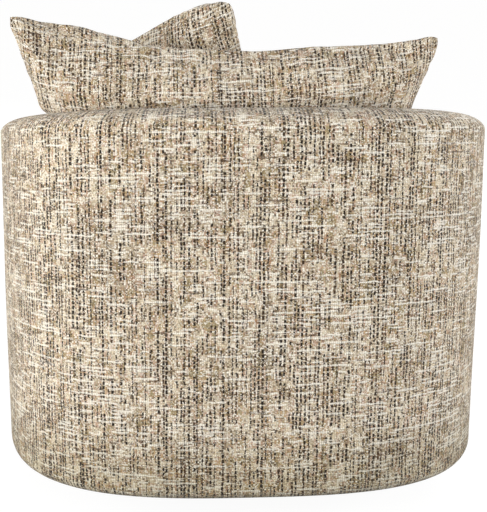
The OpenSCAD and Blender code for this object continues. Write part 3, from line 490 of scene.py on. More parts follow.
print("materials")
shellTweed = makeTweed("shellTweed", 0.0)
borderTweed = makeTweed("borderTweed", 3.1)
seatTweed = makeTweed("seatTweed", 5.3)
# painted shade: the back cushion and the pillow are shaded copies, with 5 and 7 per cent more brown all over
backTweed = makeTweed("backTweed", 8.7, 0.05)
pillowTweed = makeTweed("pillowTweed", 12.9, 0.07)
platedSteel = makeMetal("platedSteel", (196, 196, 192), 0.34, (1.0, 1.0, 4.0))
springSteel = makeMetal("springSteel", (132, 132, 134), 0.38, (1.0, 1.0, 0.2))
zipMetal = makeMetal("zipMetal", (150, 138, 112), 0.32, None)
zipTape = makeTape("zipTape", (150, 132, 104), (104, 88, 66))
platformCloth = makeWeave("platformCloth", (212, 197, 168), (172, 154, 124), 0.0016)
underCloth = makeWeave("underCloth", (50, 49, 47), (26, 25, 24), 0.0009)

finishes = {
    makePaint("blackPaint", (34, 33, 32), 0.42): ["base_ring", "base_bars", "rocker_cradle", "rocker_frame"],
    platedSteel: ["lower_bearing_plate", "swivel_plate", "bearing_plate_bolts", "king_bolt", "king_nut",
                  "cradle_rivets", "shaft_clips", "rocker_screws", "pivot_shaft"],
    makeMetal("polishedSteel", (222, 222, 224), 0.14, None): ["bearing_balls"],
    springSteel: ["seat_springs", "spring_clips", "front_rocker_springs", "rear_rocker_springs"],
    makePlastic("glideNylon", (36, 35, 34), 0.5): ["floor_glides"],
    makePlastic("bearingNylon", (226, 219, 198), 0.42): ["ball_cage", "pivot_bushes"],
    makeWood("frameWood", (214, 184, 138), (168, 128, 84), (0.25, 0.25, 1.0)): [
        "cross_rails", "bottom_ring", "seat_ring", "lower_posts", "upper_posts", "top_rail", "corner_blocks"],
    makeWood("fibreboard", (150, 116, 80), (118, 88, 58), None): ["outside_board", "front_board"],
    makeSoft("wadding", (236, 233, 224), 260.0, 0.0012): ["inside_pad", "rim_pad"],
    makeSoft("webbingCloth", (150, 134, 104), 900.0, 0.0005): ["back_webbing"],
}
for material, names in finishes.items():
    for name in names:
        data = nodes[name].data
        data.materials.clear()
        data.materials.append(material)


# plan of the chair, with turns in radians from the middle of the back towards +X

shellLow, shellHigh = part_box("shell_cover")
plan = Sizes(
    halfWidth=(shellHigh.x - shellLow.x) / 2, halfDepth=shellHigh.y, squareness=2.9, armEnd=radians(128),
    rimMiddle=0.6725, rimSlope=0.150 / 0.880,
)


def planPoint(turn):
    # the ray at this turn meets the outline |x / width| ^ n + |y / depth| ^ n = 1
    n, sine, cosine = plan.squareness, sin(turn), cos(turn)
    reach = (np.abs(sine / plan.halfWidth) ** n + np.abs(cosine / plan.halfDepth) ** n) ** (-1 / n)
    return pair(reach * sine, reach * cosine)


def planNormal(turn):
    # slope of the outline's equation, made one unit long
    n, point = plan.squareness, planPoint(turn)
    size = array([plan.halfWidth, plan.halfDepth])
    slope = np.sign(point) * np.abs(point / size) ** (n - 1) / size
    return unit(slope)


def insetPoint(turn, inset):
    # the outline's point moved inwards, square to the outline
    return planPoint(turn) - np.asarray(inset)[..., None] * planNormal(turn)


def rimLevel(y):
    # the rim lies in one plane that falls towards the front
    return plan.rimMiddle + plan.rimSlope * y


def evenTurns(first, last, count):
    # turns that are evenly spaced along the outline, with the distance to each
    fine = linspace(first, last, 3000)
    far = runLength(planPoint(fine))
    even = linspace(0, far[-1], count)
    return interp(even, far, fine), even


def sweep(turns, insets, shares, lows, drops):
    # a section carried along the outline: height = low where the share is 0, and rim + drop where it is 1
    turn, inset = grid(turns, insets)
    flat = insetPoint(turn, inset)
    top = rimLevel(planPoint(turns)[:, 1])[:, None]
    height = (1 - shares)[None] * lows[None] + shares[None] * (top + drops[None])
    return raised(flat, height)


def section(*stretches):
    # joins stretches of (inset, share, low, drop), given as arrays or as steady numbers
    parts = []
    for stretch in stretches:
        count = max(np.size(value) for value in stretch)
        parts.append(stack([broadcast_to(value, count) for value in stretch], -1))
    return concatenate(parts).T.astype(float)


shell = Sizes(
    wall=0.104, rimRound=0.028, hem=0.070, hemRound=0.022, drawIn=0.006, cover=0.014, lining=0.008,
    turnUnder=0.040, deck=0.2903, frameLow=0.0837, backRound=0.016, seamDepth=0.0022, seamWidth=0.0045,
    wave=0.0011, bow=0.0012, turnSteps=330, lineHeight=0.33, armPuff=0.0025, armGap=0.0003,
)


def seamDip(near, s=shell):
    # a seam draws the cloth in: depth * exp(-(distance / width) ^ 2)
    return s.seamDepth * exp(-(near / s.seamWidth) ** 2)


def hemStretch(steps=9, s=shell):
    # turned under flat, then a quarter circle up to the wall
    a = linspace(0, pi / 2, steps)
    inset = s.drawIn + s.hemRound * (1 - sin(a))
    height = s.hem + s.hemRound * (1 - cos(a))
    return [(linspace(s.turnUnder, inset[0], 4)[:-1], 0, s.hem, 0), (inset, 0, height, 0)]


def clothOver(turns, far, parts, row, pace, seed, calmUp, calmAcross, shift=0.0):
    # sections carried round the chair, each with faint waves that die out near its edges
    patches = []
    for part, wavy in parts:
        points = sweep(turns, *part)
        climb = runLength(points[row])
        u, v = grid(far, climb)
        calm = ease(0, calmUp, v) * ease(0, calmUp, climb[-1] - v) \
            * ease(0, calmAcross, u) * ease(0, calmAcross, far[-1] - u)
        wave = wavy * shell.wave * softNoise(u * pace[0], v * pace[1], seed) * calm
        points[..., :2] += wave[..., None] * planNormal(turns)[:, None]
        patches.append((points, pair(u + shift, v)))
    return patches


def makeShellCover(s=shell):
    # outside from the hem over the rim, inside down to the deck, and the hidden back of the cloth
    turns, far = evenTurns(-plan.armEnd, plan.armEnd, s.turnSteps)
    up = linspace(0, 1, 60)[1:]
    arc = linspace(0, pi, 46)[1:]
    half = s.wall / 2
    outer = section(
        *hemStretch(),
        (s.drawIn * (1 - up) - s.bow * sin(pi * up), up, s.hem + s.hemRound, -s.rimRound),
        (half - half * cos(arc) - seamDip((pi - arc) * half), 1, 0,
         -s.rimRound + s.rimRound * sin(arc)))
    down = concatenate([linspace(0, 0.06, 12), linspace(0.06, 1, 34)[1:]])
    inner = section((s.wall - seamDip(down * s.lineHeight), 1 - down, s.deck, -s.rimRound))
    back = linspace(pi, 0, 12)
    middle, wide = (s.cover + s.wall - s.lining) / 2, (s.wall - s.lining - s.cover) / 2
    hidden = section(
        (array([s.wall, s.wall - s.lining]), 0, s.deck, 0),
        (middle - wide * cos(back), 1, 0, -s.rimRound + s.backRound * sin(back)),
        (array([s.cover, s.turnUnder, s.turnUnder]), 0,
         array([s.frameLow, s.frameLow, s.hem]), 0))
    patches = clothOver(turns, far, ((outer, 1.0), (inner, -0.6), (hidden, 0.0)), len(turns) // 2, (14, 20), 3,
                        0.05, 0.04)
    makePiece("shellUpholstery", patches, shellTweed, "seat", "tweed", ["shell_cover"], fill=True)


def makeArmFront(name, side, node, s=shell):
    # half a circle round the end of the wall, upright, closed by a quarter dome that meets the rim
    end, out = planPoint(plan.armEnd), planNormal(plan.armEnd)
    along = array([out[1], -out[0]])
    middle = end - out * s.wall / 2
    around = linspace(0, pi, 61)
    climb = concatenate([linspace(0, 1, 40), 1 + linspace(0, 1, 22)[1:]])
    a, c = grid(around, climb)
    dome = clip(c - 1, 0, 1) * pi / 2
    reach = s.wall / 2 * cos(dome)
    dip = seamDip(minimum(a, pi - a) * s.wall / 2)
    puff = s.armPuff * sin(a) * sin(pi * clip(c, 0, 1)) ** 0.5
    across = (reach - dip + puff * (c < 1)) * cos(a)
    forward = s.armGap + (reach + puff * (c < 1)) * sin(a)
    flat = middle + out * across[..., None] + along * forward[..., None]
    top = rimLevel(flat[..., 1]) - s.rimRound
    height = s.deck + (top - s.deck) * clip(c, 0, 1) + s.rimRound * sin(dome)
    points = raised(flat, height)
    u, v = grid(around * s.wall / 2 + 0.2, runLength(points[30]))
    points[..., 0] *= side
    closing = points[:, :1]
    base = concatenate([closing, broadcast_to(closing.mean(0), closing.shape)], 1)
    uv = pair(u, v)
    patches = [(points, uv), (base, uv[:, :2])]
    makePiece(name, patches, borderTweed, "seat", "tweed", [node], fill=True)


border = Sizes(
    roll=0.016, lip=0.044, gap=0.0003, thick=0.0097, bow=0.002,
)


def makeFrontBorder(s=shell, b=border):
    # strip below the seat cushion: hem, face and a rolled top that tucks under the cushion
    turns, far = evenTurns(plan.armEnd, 2 * pi - plan.armEnd, 150)
    a = linspace(0, pi / 2, 12)
    up = linspace(0, 1, 24)[1:-1]
    wallLow, high = s.hem + s.hemRound, s.deck - b.gap
    outer = section(
        *hemStretch(),
        (s.drawIn * (1 - up) - b.bow * sin(pi * up), 0, wallLow + (high - b.roll - wallLow) * up, 0),
        (b.roll * (1 - cos(a)), 0, high - b.roll * (1 - sin(a)), 0),
        (b.lip, 0, high, 0))
    low, under = high - b.thick, s.turnUnder
    hidden = section(
        (array([b.lip, b.lip, s.cover, s.cover, under, under]), 0,
         array([high, low, low, s.frameLow, s.frameLow, s.hem]), 0))
    patches = clothOver(turns, far, ((outer, 1.0), (hidden, 0.0)), 0, (18, 24), 5, 0.03, 0.03, 0.35)
    makePiece("frontBorderUpholstery", patches, borderTweed, "seat", "tweed", ["front_border"], fill=True)


def spread(sides, rounds=300):
    # fills four curves that meet end to end with a grid, and moves each point to the mean of its neighbours
    low, right, high, left = sides[0], sides[1], sides[2][::-1], sides[3][::-1]
    a = linspace(0, 1, len(low))[:, None, None]
    b = linspace(0, 1, len(right))[None, :, None]
    net = (1 - b) * low[:, None] + b * high[:, None] + (1 - a) * left[None] + a * right[None] \
        - (1 - a) * (1 - b) * low[0] - a * (1 - b) * low[-1] - (1 - a) * b * high[0] - a * b * high[-1]
    for turn in range(rounds):
        net[1:-1, 1:-1] = (net[:-2, 1:-1] + net[2:, 1:-1] + net[1:-1, :-2] + net[1:-1, 2:]) / 4
    return net


def panelSides(line, corner):
    # a closed line of points as four runs that meet end to end
    quarter = (len(line) - 1) // 4
    ring = arange(len(line) - 1)
    return [line[np.take(ring, arange(corner + k * quarter, corner + (k + 1) * quarter + 1), mode="wrap")]
            for k in range(4)]


deck = Sizes(
    inset=0.0623, frontReach=0.0165, middle=0.2850, halfThick=0.0047, round=0.005, springPitch=0.110,
    springMark=0.0012, wave=0.0006, frontTurns=(0.12, 0.24), calm=0.06, corner=60,
)


def makeDeck(s=deck):
    # the padded platform under the seat cushion: a rounded edge and two panels, the upper marked by the springs
    turns, far = evenTurns(0, 2 * pi, 481)
    fromBack = minimum(turns, 2 * pi - turns)
    inset = s.inset - s.frontReach * ease(*(plan.armEnd + turn for turn in s.frontTurns), fromBack)
    a = linspace(-pi / 2, pi / 2, 9)
    flat = insetPoint(turns[:, None], inset[:, None] + s.round * (1 - cos(a))[None])
    height = broadcast_to(s.middle + s.halfThick * sin(a), flat.shape[:2])
    patches = [(raised(flat, height), stack(grid(far, s.halfThick * a), -1))]
    for rim, face in ((flat[:, -1], 1), (flat[:, 0], -1)):
        points = spread(panelSides(rim, s.corner))
        ends = linspace(0, 1, len(points))
        inside = ease(0, s.calm, minimum(ends, 1 - ends))
        ridge = 0.5 - 0.5 * cos(2 * pi * points[..., 0] / s.springPitch)
        wave = s.springMark * ridge + s.wave * (1 + softNoise(points[..., 0] * 15, points[..., 1] * 15, 61))
        z = s.middle + face * s.halfThick - (face > 0) * wave * inside[:, None] * inside[None]
        patches.append((raised(points, z), points))
    piece = makePiece("deckPlatform", patches, platformCloth, "seat", "wadding", ["deck_pad"])


dust = Sizes(
    inset=0.0403, opening=0.206, level=0.0832, halfThick=0.0006, sag=0.0025, stapleInset=0.052, sagFull=0.09,
    flatFrom=0.6, flatShare=0.5, uneven=0.25,
)


def makeDustCover(s=dust):
    # cloth stapled under the frame, with a round opening; it sags a little between the staples and the opening
    turns, far = evenTurns(0, 2 * pi, 289)
    outer = insetPoint(turns, full(len(turns), s.inset))
    inner = s.opening * outer / norm(outer, axis=-1, keepdims=True)
    share = linspace(0, 1, 28)
    flat = outer[:, None] * (1 - share)[None, :, None] + inner[:, None] * share[None, :, None]
    inward = norm(flat - outer[:, None], axis=-1)
    hang = ease(s.stapleInset - s.inset, s.sagFull, inward)
    hang = hang * (1 - s.flatShare * ease(s.flatFrom, 1, share)[None])
    z = s.level - s.sag * hang * (1 + s.uneven * softNoise(flat[..., 0] * 18, flat[..., 1] * 18, 71))
    patches = []
    for face in (1, -1):
        patches.append((raised(flat, z + face * s.halfThick), flat))
    for column in (0, -1):
        rim = stack([patches[0][0][:, column], patches[1][0][:, column]], 1)
        patches.append((rim, stack([flat[:, column], flat[:, column] + 0.001], 1)))
    piece = makePiece("underFrameCloth", patches, underCloth, "seat", "dust_cloth", ["dust_cover"])
    size = outer.max(0) - outer.min(0)


print("shell, arm fronts, border, deck and the cloth under the frame")
makeDeck()
makeDustCover()
makeShellCover()
makeArmFront("leftArmUpholstery", 1, "left_arm_front")
makeArmFront("rightArmUpholstery", -1, "right_arm_front")
makeFrontBorder()


# cushions

swell = Sizes(
    pressure=3.0, frames=16, slack=0.03, stiffness=18.0, bending=4.0, quality=4, seamJump=0.001, seatCap=0.012,
    backCap=0.014, pillowCap=0.010,
)


def valuesOf(items, name, width, kind=np.float32):
    values = np.zeros(len(items) * width, kind)
    items.foreach_get(name, values)
    return values.reshape(-1, width)


def puffUp(piece, cap, free):
    # blows the cushion up as cloth with a little slack, so that it wrinkles at its seams, then caps each move
    mesh = piece.data
    before = valuesOf(mesh.vertices, "co", 3)
    cloth = piece.modifiers.new("swell", "CLOTH")
    rules = cloth.settings
    rules.quality = swell.quality
    rules.use_pressure = True
    rules.uniform_pressure_force = swell.pressure
    rules.shrink_min = -swell.slack
    rules.tension_stiffness = rules.compression_stiffness = swell.stiffness
    rules.shear_stiffness = swell.stiffness / 3
    rules.bending_stiffness = swell.bending
    rules.effector_weights.gravity = 0
    # the seams hold still: they are where the cloth coordinates of two panels meet
    corners = valuesOf(mesh.loops, "vertex_index", 1, np.int32)[:, 0]
    flat = valuesOf(mesh.uv_layers["cloth"].data, "uv", 2)
    least, most = full((len(mesh.vertices), 2), 1e9), full((len(mesh.vertices), 2), -1e9)
    np.minimum.at(least, corners, flat)
    np.maximum.at(most, corners, flat)
    seam = piece.vertex_groups.new(name="seam")
    seam.add(np.flatnonzero((most - least).max(1) > swell.seamJump).tolist(), 1.0, "REPLACE")
    rules.vertex_group_mass = "seam"
    cloth.collision_settings.use_collision = False
    cloth.point_cache.frame_start, cloth.point_cache.frame_end = 1, swell.frames
    for step in range(1, swell.frames + 1):
        scene.frame_set(step)
    shape = piece.evaluated_get(bpy.context.evaluated_depsgraph_get()).data
    move = valuesOf(shape.vertices, "co", 3) - before
    piece.modifiers.remove(cloth)
    scene.frame_set(1)
    far = norm(move, axis=1, keepdims=True)
    move *= cap / maximum(far, cap)
    move *= free(before)[:, None]
    mesh.vertices.foreach_set("co", (before + move).ravel())
    mesh.update()
    print(piece.name, "swelled by up to", round(float(norm(move, axis=1).max()) * 1000, 1), "mm")


def subdivide(piece):
    finer = piece.modifiers.new("finer", "SUBSURF")
    finer.levels = finer.render_levels = 1
    finer.uv_smooth = "PRESERVE_BOUNDARIES"


seat = Sizes(
    clearance=0.003, frontInset=0.006, flare=0.034, bulge=0.009, low=0.2906, lowSeam=0.300, highSeam=0.404,
    middle=(0.0, -0.030), top=0.4415, corner=36, seamDepth=0.0030, seamWidth=0.0050, pucker=0.0010,
    ripple=0.0012, broad=0.0022, noseTurn=105, smoothings=10, puckerRun=0.02, rippleRun=0.03, topPower=3.0,
    lowPower=9.0,
)


def seatOutline(count, s=seat):
    # follows the inside of the wall, goes round the end of each arm and then along the front
    out = planNormal(plan.armEnd)
    along = array([out[1], -out[0]])
    nose = shell.wall / 2 + s.clearance
    middle = insetPoint(plan.armEnd, shell.wall / 2)
    reach = norm(planPoint(plan.armEnd))
    back = insetPoint(linspace(0, plan.armEnd, 60), full(60, shell.wall + s.clearance))
    a = radians(linspace(0, s.noseTurn, 24))[1:, None]
    roundArm = middle + nose * (along * sin(a) - out * cos(a))
    front = linspace(plan.armEnd + (nose + s.flare) / reach, pi, 40)
    half = concatenate([back, roundArm, insetPoint(front, full(40, s.frontInset))])
    whole = concatenate([half, (half * [-1, 1])[-2::-1]])
    far = runLength(whole)
    even = linspace(0, far[-1], count + 1)
    line = stack([interp(even, far, whole[:, k]) for k in (0, 1)], -1)[:-1]
    for turn in range(s.smoothings):
        line = (np.roll(line, 1, 0) + 2 * line + np.roll(line, -1, 0)) / 4
    return concatenate([line, line[:1]])


def makeSeatCushion(s=seat):
    # a boxed cushion: a band that bulges between two seams, and two panels that rise or lie flat inside them
    line = seatOutline(304)
    tangent = np.gradient(line, axis=0)
    tangent[0] = tangent[-1] = line[1] - line[-2]
    outward = unit(pair(-tangent[:, 1], tangent[:, 0]))
    far = runLength(line)
    u, h = grid(far, linspace(0, 1, 26))
    seamNear = minimum(h, 1 - h) * (s.highSeam - s.lowSeam)
    inset = s.bulge * (1 - sin(pi * h) ** 0.5) + seamDip(seamNear, s)
    pucker = s.pucker * softNoise(u * 160, h * 6, 11) * exp(-seamNear / s.puckerRun)
    flat = line[:, None] - outward[:, None] * (inset + pucker)[..., None]
    height = s.lowSeam + (s.highSeam - s.lowSeam) * h
    patches = [(raised(flat, height), pair(u, height))]
    for edge, level in ((flat[:, -1], s.highSeam), (flat[:, 0], s.lowSeam)):
        points = spread(panelSides(edge, s.corner))
        # how far each point lies from the rim, as a share of the way from the middle and in metres
        offset, rimOffset = points - array(s.middle), edge[:-1] - array(s.middle)
        rimTurn = np.arctan2(rimOffset[:, 1], rimOffset[:, 0])
        order = np.argsort(rimTurn)
        rim = interp(np.arctan2(offset[..., 1], offset[..., 0]), rimTurn[order],
                     norm(rimOffset, axis=1)[order], period=2 * pi)
        share = clip(1 - norm(offset, axis=-1) / rim, 0, 1)
        apart = norm(points[:, :, None] - edge[None, None], axis=-1)
        inward, nearest = apart.min(-1), far[apart.argmin(-1)]
        dip = seamDip(inward, s) * ease(0, 0.002, inward)
        if level == s.highSeam:
            ripples = s.ripple * softNoise(nearest * 130, inward * 20, 13) * exp(-inward / s.rippleRun)
            broad = s.broad * softNoise(points[..., 0] * 16, points[..., 1] * 16, 7)
            crown = (s.top - level) * (1 - (1 - share) ** s.topPower)
            z = level + crown - dip + (ripples + broad) * ease(0, s.rippleRun, inward)
        else:
            z = level + (s.low - level) * (1 - (1 - share) ** s.lowPower) + dip
        patches.append((raised(points, z), points + [0.6, 0.2]))
    piece = makePiece("seatCushion", patches, seatTweed, "seat_cushion", "tweed",
                      ["seat_cushion_cover", "seat_cushion_core"])
    return piece


back = Sizes(
    topWidth=0.754, lowWidth=0.590, height=0.397, thick=0.160, y=0.2425, low=0.43105, leftEar=0.043,
    rightEar=0.017, earPower=5.0, earStart=0.286, wrap=0.028, lean=0.024, shift=0.042, roll=radians(2.4),
    rimShare=0.58, shiftShare=0.09, puff=0.42,
    heights=[0, 0.3, 0.58, 0.60, 0.62, 0.64, 0.66, 0.70, 0.75, 0.80, 0.85, 0.90, 0.95, 1],
    widths=[0.02, 0, 0.05, 0.12, 0.20, 0.29, 0.36, 0.42, 0.52, 0.63, 0.73, 0.82, 0.92, 1], cornerPull=0.005,
    cornerSize=0.020, sag=0.007, sagWidth=0.12, pucker=0.0016, broad=0.0030, puckerPace=(55, 32),
    broadPace=(7, 5), seed=21, calm=0.06, seamRoom=0.002, crestPower=0.6, crest=0.031, crestFrom=0.100,
    crestTo=0.310, crestRun=0.10,
)


def closeAtEnds(count):
    # shares from -1 to 1 that crowd together at both ends
    return sin(linspace(-pi / 2, pi / 2, count))


def standOff(s, u, v, edge, face):
    # a panel's distance from the middle: (1 - u^2)(1 - v^2) to a power, puckered at the seam, with broad waves
    depth = (s.thick / 2 - s.seamRoom) * maximum(0, (1 - u * u) * (1 - v * v)) ** s.puff
    (a, b), (c, d), seed = s.puckerPace, s.broadPace, s.seed + face
    pucker = s.pucker * softNoise(u * a, v * b, seed) * exp(-edge / 0.03) * ease(0, 0.004, edge)
    return depth + pucker + s.broad * softNoise(u * c, v * d, seed + 10) * ease(0, s.calm, edge)


def makeBackCushion(s=back):
    # two panels that share a seam round their edge, which widens with the height by a profile
    v, u = grid(closeAtEnds(73), closeAtEnds(121))
    share = (v + 1) / 2
    fine = linspace(0, 1, 401)
    widths = interp(fine, s.heights, s.widths)
    for turn in range(20):
        widths[1:-1] = (widths[:-2] + 2 * widths[1:-1] + widths[2:]) / 4
    low = s.lowWidth / 2
    half = low + (s.topWidth / 2 - low) * interp(share, fine, widths)
    x = half * u + s.shift * ease(0, 1, (share - s.rimShare) / s.shiftShare)
    x = x - np.sign(u) * s.cornerPull * np.abs(v) ** (s.height / 2 / s.cornerSize * 2)
    # the middle of the top edge sags, each corner rises in an ear, and the whole rolls up to the left
    rise = ease(s.earStart, 1, share)
    ear = np.where(u > 0, s.leftEar, s.rightEar) * np.abs(u) ** s.earPower
    side = np.where(x > 0, x * np.tan(s.roll), s.sag * ease(0, s.sagWidth, -x))
    z = s.low + s.height * share + ear * rise + side * share
    z = z - np.sign(v) * s.cornerPull * np.abs(u) ** (s.topWidth / 2 / s.cornerSize * 2)
    y = s.y + s.lean * (share - 0.5) - s.wrap * u * u
    edge = minimum((1 - np.abs(u)) * s.topWidth / 2, (1 - np.abs(v)) * s.height / 2)
    patches = []
    for face in (1, -1):
        # the front panel slumps over the seam beside its left ear, so that it shows above the seam from behind
        near = clip((1 - v) / 0.5, 0, 1) ** 0.4
        crest = s.crest * 4 * near * (1 - near) * ease(s.crestFrom, s.crestTo, x) * (face == 1)
        crest = crest * minimum(1, (1 - u) * s.topWidth / 2 / s.crestRun) ** s.crestPower
        points = stack([x, y - face * standOff(s, u, v, edge, face), z + crest], -1)
        patches.append((points, laidFlat(points) + [0, 0.3 * face]))
    piece = makePiece("backCushion", patches, backTweed, "back_cushion", "tweed",
                      ["back_cushion_cover", "back_cushion_fill"])
    return piece


pillow = Sizes(
    side=0.410, thick=0.120, drawIn=0.016, topDraw=-0.006, sideDraw=0.026, slump=0.042, slumpFrom=(-0.8, 0.4),
    slumpUp=(-0.2, 1), turn=radians(16), lean=radians(20), yaw=radians(25), x=0.124, forward=0.0397,
    crownShare=0.75, crown=0.030, seatEdge=0.412, puff=0.42, cornerPull=0.006, cornerPower=18, pucker=0.0014,
    broad=0.0025, puckerPace=(40, 40), broadPace=(5, 5), seed=41, calm=0.05, seamRoom=0.002,
)


def pillowPlace(s=pillow):
    # stands on its lowest corner on the seat cushion and leans on the back cushion
    drop = s.side / 2 * (cos(s.turn) + sin(s.turn)) * cos(s.lean)
    y = back.y - (back.thick + s.thick) / 2 - s.forward
    place = Matrix.Translation((s.x, y, s.seatEdge + s.crown * s.crownShare + drop))
    for angle, axis in ((-s.yaw, "Z"), (-s.lean, "X"), (s.turn, "Y")):
        place = place @ Matrix.Rotation(angle, 4, axis)
    return array(place)


def makeThrowPillow(s=pillow):
    # two square panels with a shared seam whose sides draw in between the corners
    v, u = grid(closeAtEnds(91), closeAtEnds(91))
    half = s.side / 2
    sideDraw = s.drawIn + (s.sideDraw - s.drawIn) * (1 - u) / 2
    topDraw = s.drawIn + (s.topDraw - s.drawIn) * (1 + v) / 2
    x = u * (half - sideDraw * (1 - v * v) - s.cornerPull * np.abs(v) ** s.cornerPower)
    z = v * (half - topDraw * (1 - u * u) - s.cornerPull * np.abs(u) ** s.cornerPower)
    # the top edge slumps between its corners
    z = z - s.slump * ease(*s.slumpFrom, u) * (1 - 0.6 * ease(0.5, 1, u)) * ease(*s.slumpUp, v)
    edge = minimum(1 - np.abs(u), 1 - np.abs(v)) * half
    place = pillowPlace()
    patches = []
    for face in (1, -1):
        points = stack([x, -face * standOff(s, u, v, edge, face), z], -1)
        points = points @ place[:3, :3].T + place[:3, 3]
        patches.append((points, laidFlat(points) + [0, 0.5 * face]))
    piece = makePiece("throwPillow", patches, pillowTweed, "throw_pillow", "tweed",
                      ["throw_pillow_cover", "throw_pillow_fill"])
    return piece


print("cushions")
seatCushion = makeSeatCushion()
backCushion = makeBackCushion()
throwPillow = makeThrowPillow()
# each swells only where nothing presses on it: above the rim and on the faces that are free
puffUp(seatCushion, swell.seatCap, lambda p: ease(0.39, 0.42, p[:, 2]) * ease(0.16, 0.02, p[:, 1]))
puffUp(backCushion, swell.backCap, lambda p: ease(0.715, 0.765, p[:, 2]) * np.where(p[:, 1] < 0.2, 0.35, 1.0))
puffUp(throwPillow, swell.pillowCap, lambda p: ease(0.50, 0.58, p[:, 2]))
for cushion in (seatCushion, backCushion, throwPillow):
    subdivide(cushion)


# zips

zipper = Sizes(
    halfTape=0.0125, thick=0.0007, pitch=0.0022, tooth=(0.0007, 0.0022, 0.0009), slant=0.12,
    slider=(0.0060, 0.0042, 0.0022), pull=(0.0110, 0.0026, 0.0006), sliderUp=0.0012, pullUp=0.0038,
    pullBack=0.014,
)


def onSurface(tree, points, offset):
    # nearest point of a cushion to each point, moved out by the offset, with the surface's direction there
    found = [tree.find_nearest(Vector(point)) for point in points.reshape(-1, 3)]
    place, normal = (array([tuple(hit[k]) for hit in found]).reshape(points.shape) for k in (0, 1))
    return place + normal * broadcast_to(offset, points.shape[:-1])[..., None], normal


def makeZip(name, cushion, ends, across, body, node, z=zipper):
    # a woven tape along the cushion, with a row of coil teeth and a slider with its pull
    tree = BVHTree.FromObject(cushion, bpy.context.evaluated_depsgraph_get())
    first, last = array(ends[0]), array(ends[1])
    long = norm(last - first)
    along = (last - first) / long
    across = array(across) / norm(across)
    share = linspace(0, 1, 90)
    profile = array([[-1, -1], [-1, 0.5], [-0.5, 1], [0, 1], [0.5, 1], [1, 0.5], [1, -1], [0, -1], [-1, -1]])
    centre = first + (last - first) * share[:, None]
    points = centre[:, None] + across * (profile[:, 0] * z.halfTape)[None, :, None]
    points, _ = onSurface(tree, points, profile[:, 1] * z.thick)
    uv = stack(grid(share * long, profile[:, 0] * z.halfTape), -1)
    makePiece(name + "Tape", [(points, uv)], zipTape, body, "zip_tape", [node], fill=True)
    count = int(long / z.pitch)
    spots = first + (last - first) * ((arange(count) + 0.5) / count)[:, None]
    spots, normal = onSurface(tree, spots, z.thick + z.tooth[2] * 0.8)
    side = unit(np.cross(normal, along))
    ahead = np.cross(side, normal)
    slant = ahead * np.where(arange(count) % 2, z.slant, -z.slant)[:, None]
    parts = [(spots, ahead, side + slant, normal, z.tooth)]
    # the slider and its pull, near the last tooth
    spot, out, beside, onward = (rows[-3:-2] for rows in (spots, normal, side, ahead))
    parts.append((spot + out * z.sliderUp, onward, beside, out, z.slider))
    parts.append((spot + out * z.pullUp - onward * z.pullBack, onward, beside, out, z.pull))
    centres = concatenate([part[0] for part in parts])
    sides = [concatenate([part[k + 1] * part[4][k] for part in parts]) for k in range(3)]
    makeBricks(name + "Teeth", centres, sides, zipMetal, body, "zip_tape")


print("zips")
makeZip("seatZip", seatCushion, ((-0.150, 0.330, 0.351), (0.150, 0.330, 0.351)), (0, 0, 1),
        "seat_cushion", "seat_cushion_zip")
makeZip("backZip", backCushion, ((-0.160, 0.196, 0.444), (0.160, 0.196, 0.444)), (0, -0.6, 0.8),
        "back_cushion", "back_cushion_zip")
lean = pillowPlace()
makeZip("pillowZip", throwPillow, [(lean @ array([x, -0.014, -0.186, 1.0]))[:3] for x in (-0.09, 0.09)],
        lean[:3, :3] @ array([0.0, -0.5, 0.85]), "throw_pillow", "throw_pillow_zip")


# rocker springs

coil = Sizes(
    wire=0.0035, radius=0.0245, turns=5.5, low=0.0576, high=0.1854, x=0.050, y=0.130, flatEnds=0.35,
)


def makeSprings(name, side, node, s=coil):
    # wire round a helix whose first and last turns lie nearly flat
    share = linspace(0, 1, 260)
    turn = 2 * pi * s.turns * share
    eased = ease(-0.12, 1.12, share)
    eased = (eased - eased[0]) / (eased[-1] - eased[0])
    height = s.low + s.wire + (s.high - s.low - 2 * s.wire) * (s.flatEnds * eased + (1 - s.flatEnds) * share)
    patches = []
    for x in (-s.x, s.x):
        path = stack([x + s.radius * cos(turn), side * s.y + s.radius * sin(turn), height], -1)
        patches.append((tube(path, s.wire, 14), stack(grid(share, linspace(0, 1, 15)), -1)))
    piece = makePiece(name, patches, springSteel, "seat", "coil_steel", [node], fill=True)
    # the springs ride on no body: the parent is taken off and the place is baked into the points
    piece.parent = None
    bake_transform(piece)


print("springs")
makeSprings("frontSprings", -1, "front_rocker_springs")
makeSprings("rearSprings", 1, "rear_rocker_springs")


# staples that hold the cloth under the frame

staples = Sizes(
    count=96, inset=0.052, level=0.0820, halfLength=0.0055, halfWire=0.0006,
)


def makeStaples(s=staples):
    # evenly spaced along the outline, each lying along it
    turns = evenTurns(0, 2 * pi, s.count + 1)[0][:-1]
    flat = insetPoint(turns, full(len(turns), s.inset))
    across = raised(planNormal(turns), 0 * turns)
    along = across[:, [1, 0, 2]] * [1, -1, 1]
    up = broadcast_to([0.0, 0.0, 1.0], along.shape)
    sides = (along * s.halfLength, across * s.halfWire, up * s.halfWire)
    makeBricks("dustCoverStaples", raised(flat, full(len(turns), s.level)), sides, platedSteel, "seat",
               "seat_spring_steel")


makeStaples()


# stage, lights and camera

stage = Sizes(
    floorSeen=shade(236, 235, 233), floorBounce=shade(100, 99, 97), glow=1.09, glowShare=0.86, floorSize=60,
    worldColour=(1.0, 0.985, 0.96, 1.0), worldStrength=0.38,
)
white = (1.0, 1.0, 1.0, 1.0)


def seenRays(tree):
    # 1 for rays from the camera, in reflections and through glass, 0 for those that carry light
    rays = tree.nodes.new("ShaderNodeLightPath").outputs
    seen = Wire(tree, rays["Is Camera Ray"])
    for kind in ("Is Glossy Ray", "Is Transmission Ray"):
        seen = seen.math("MAXIMUM", Wire(tree, rays[kind]))
    return seen


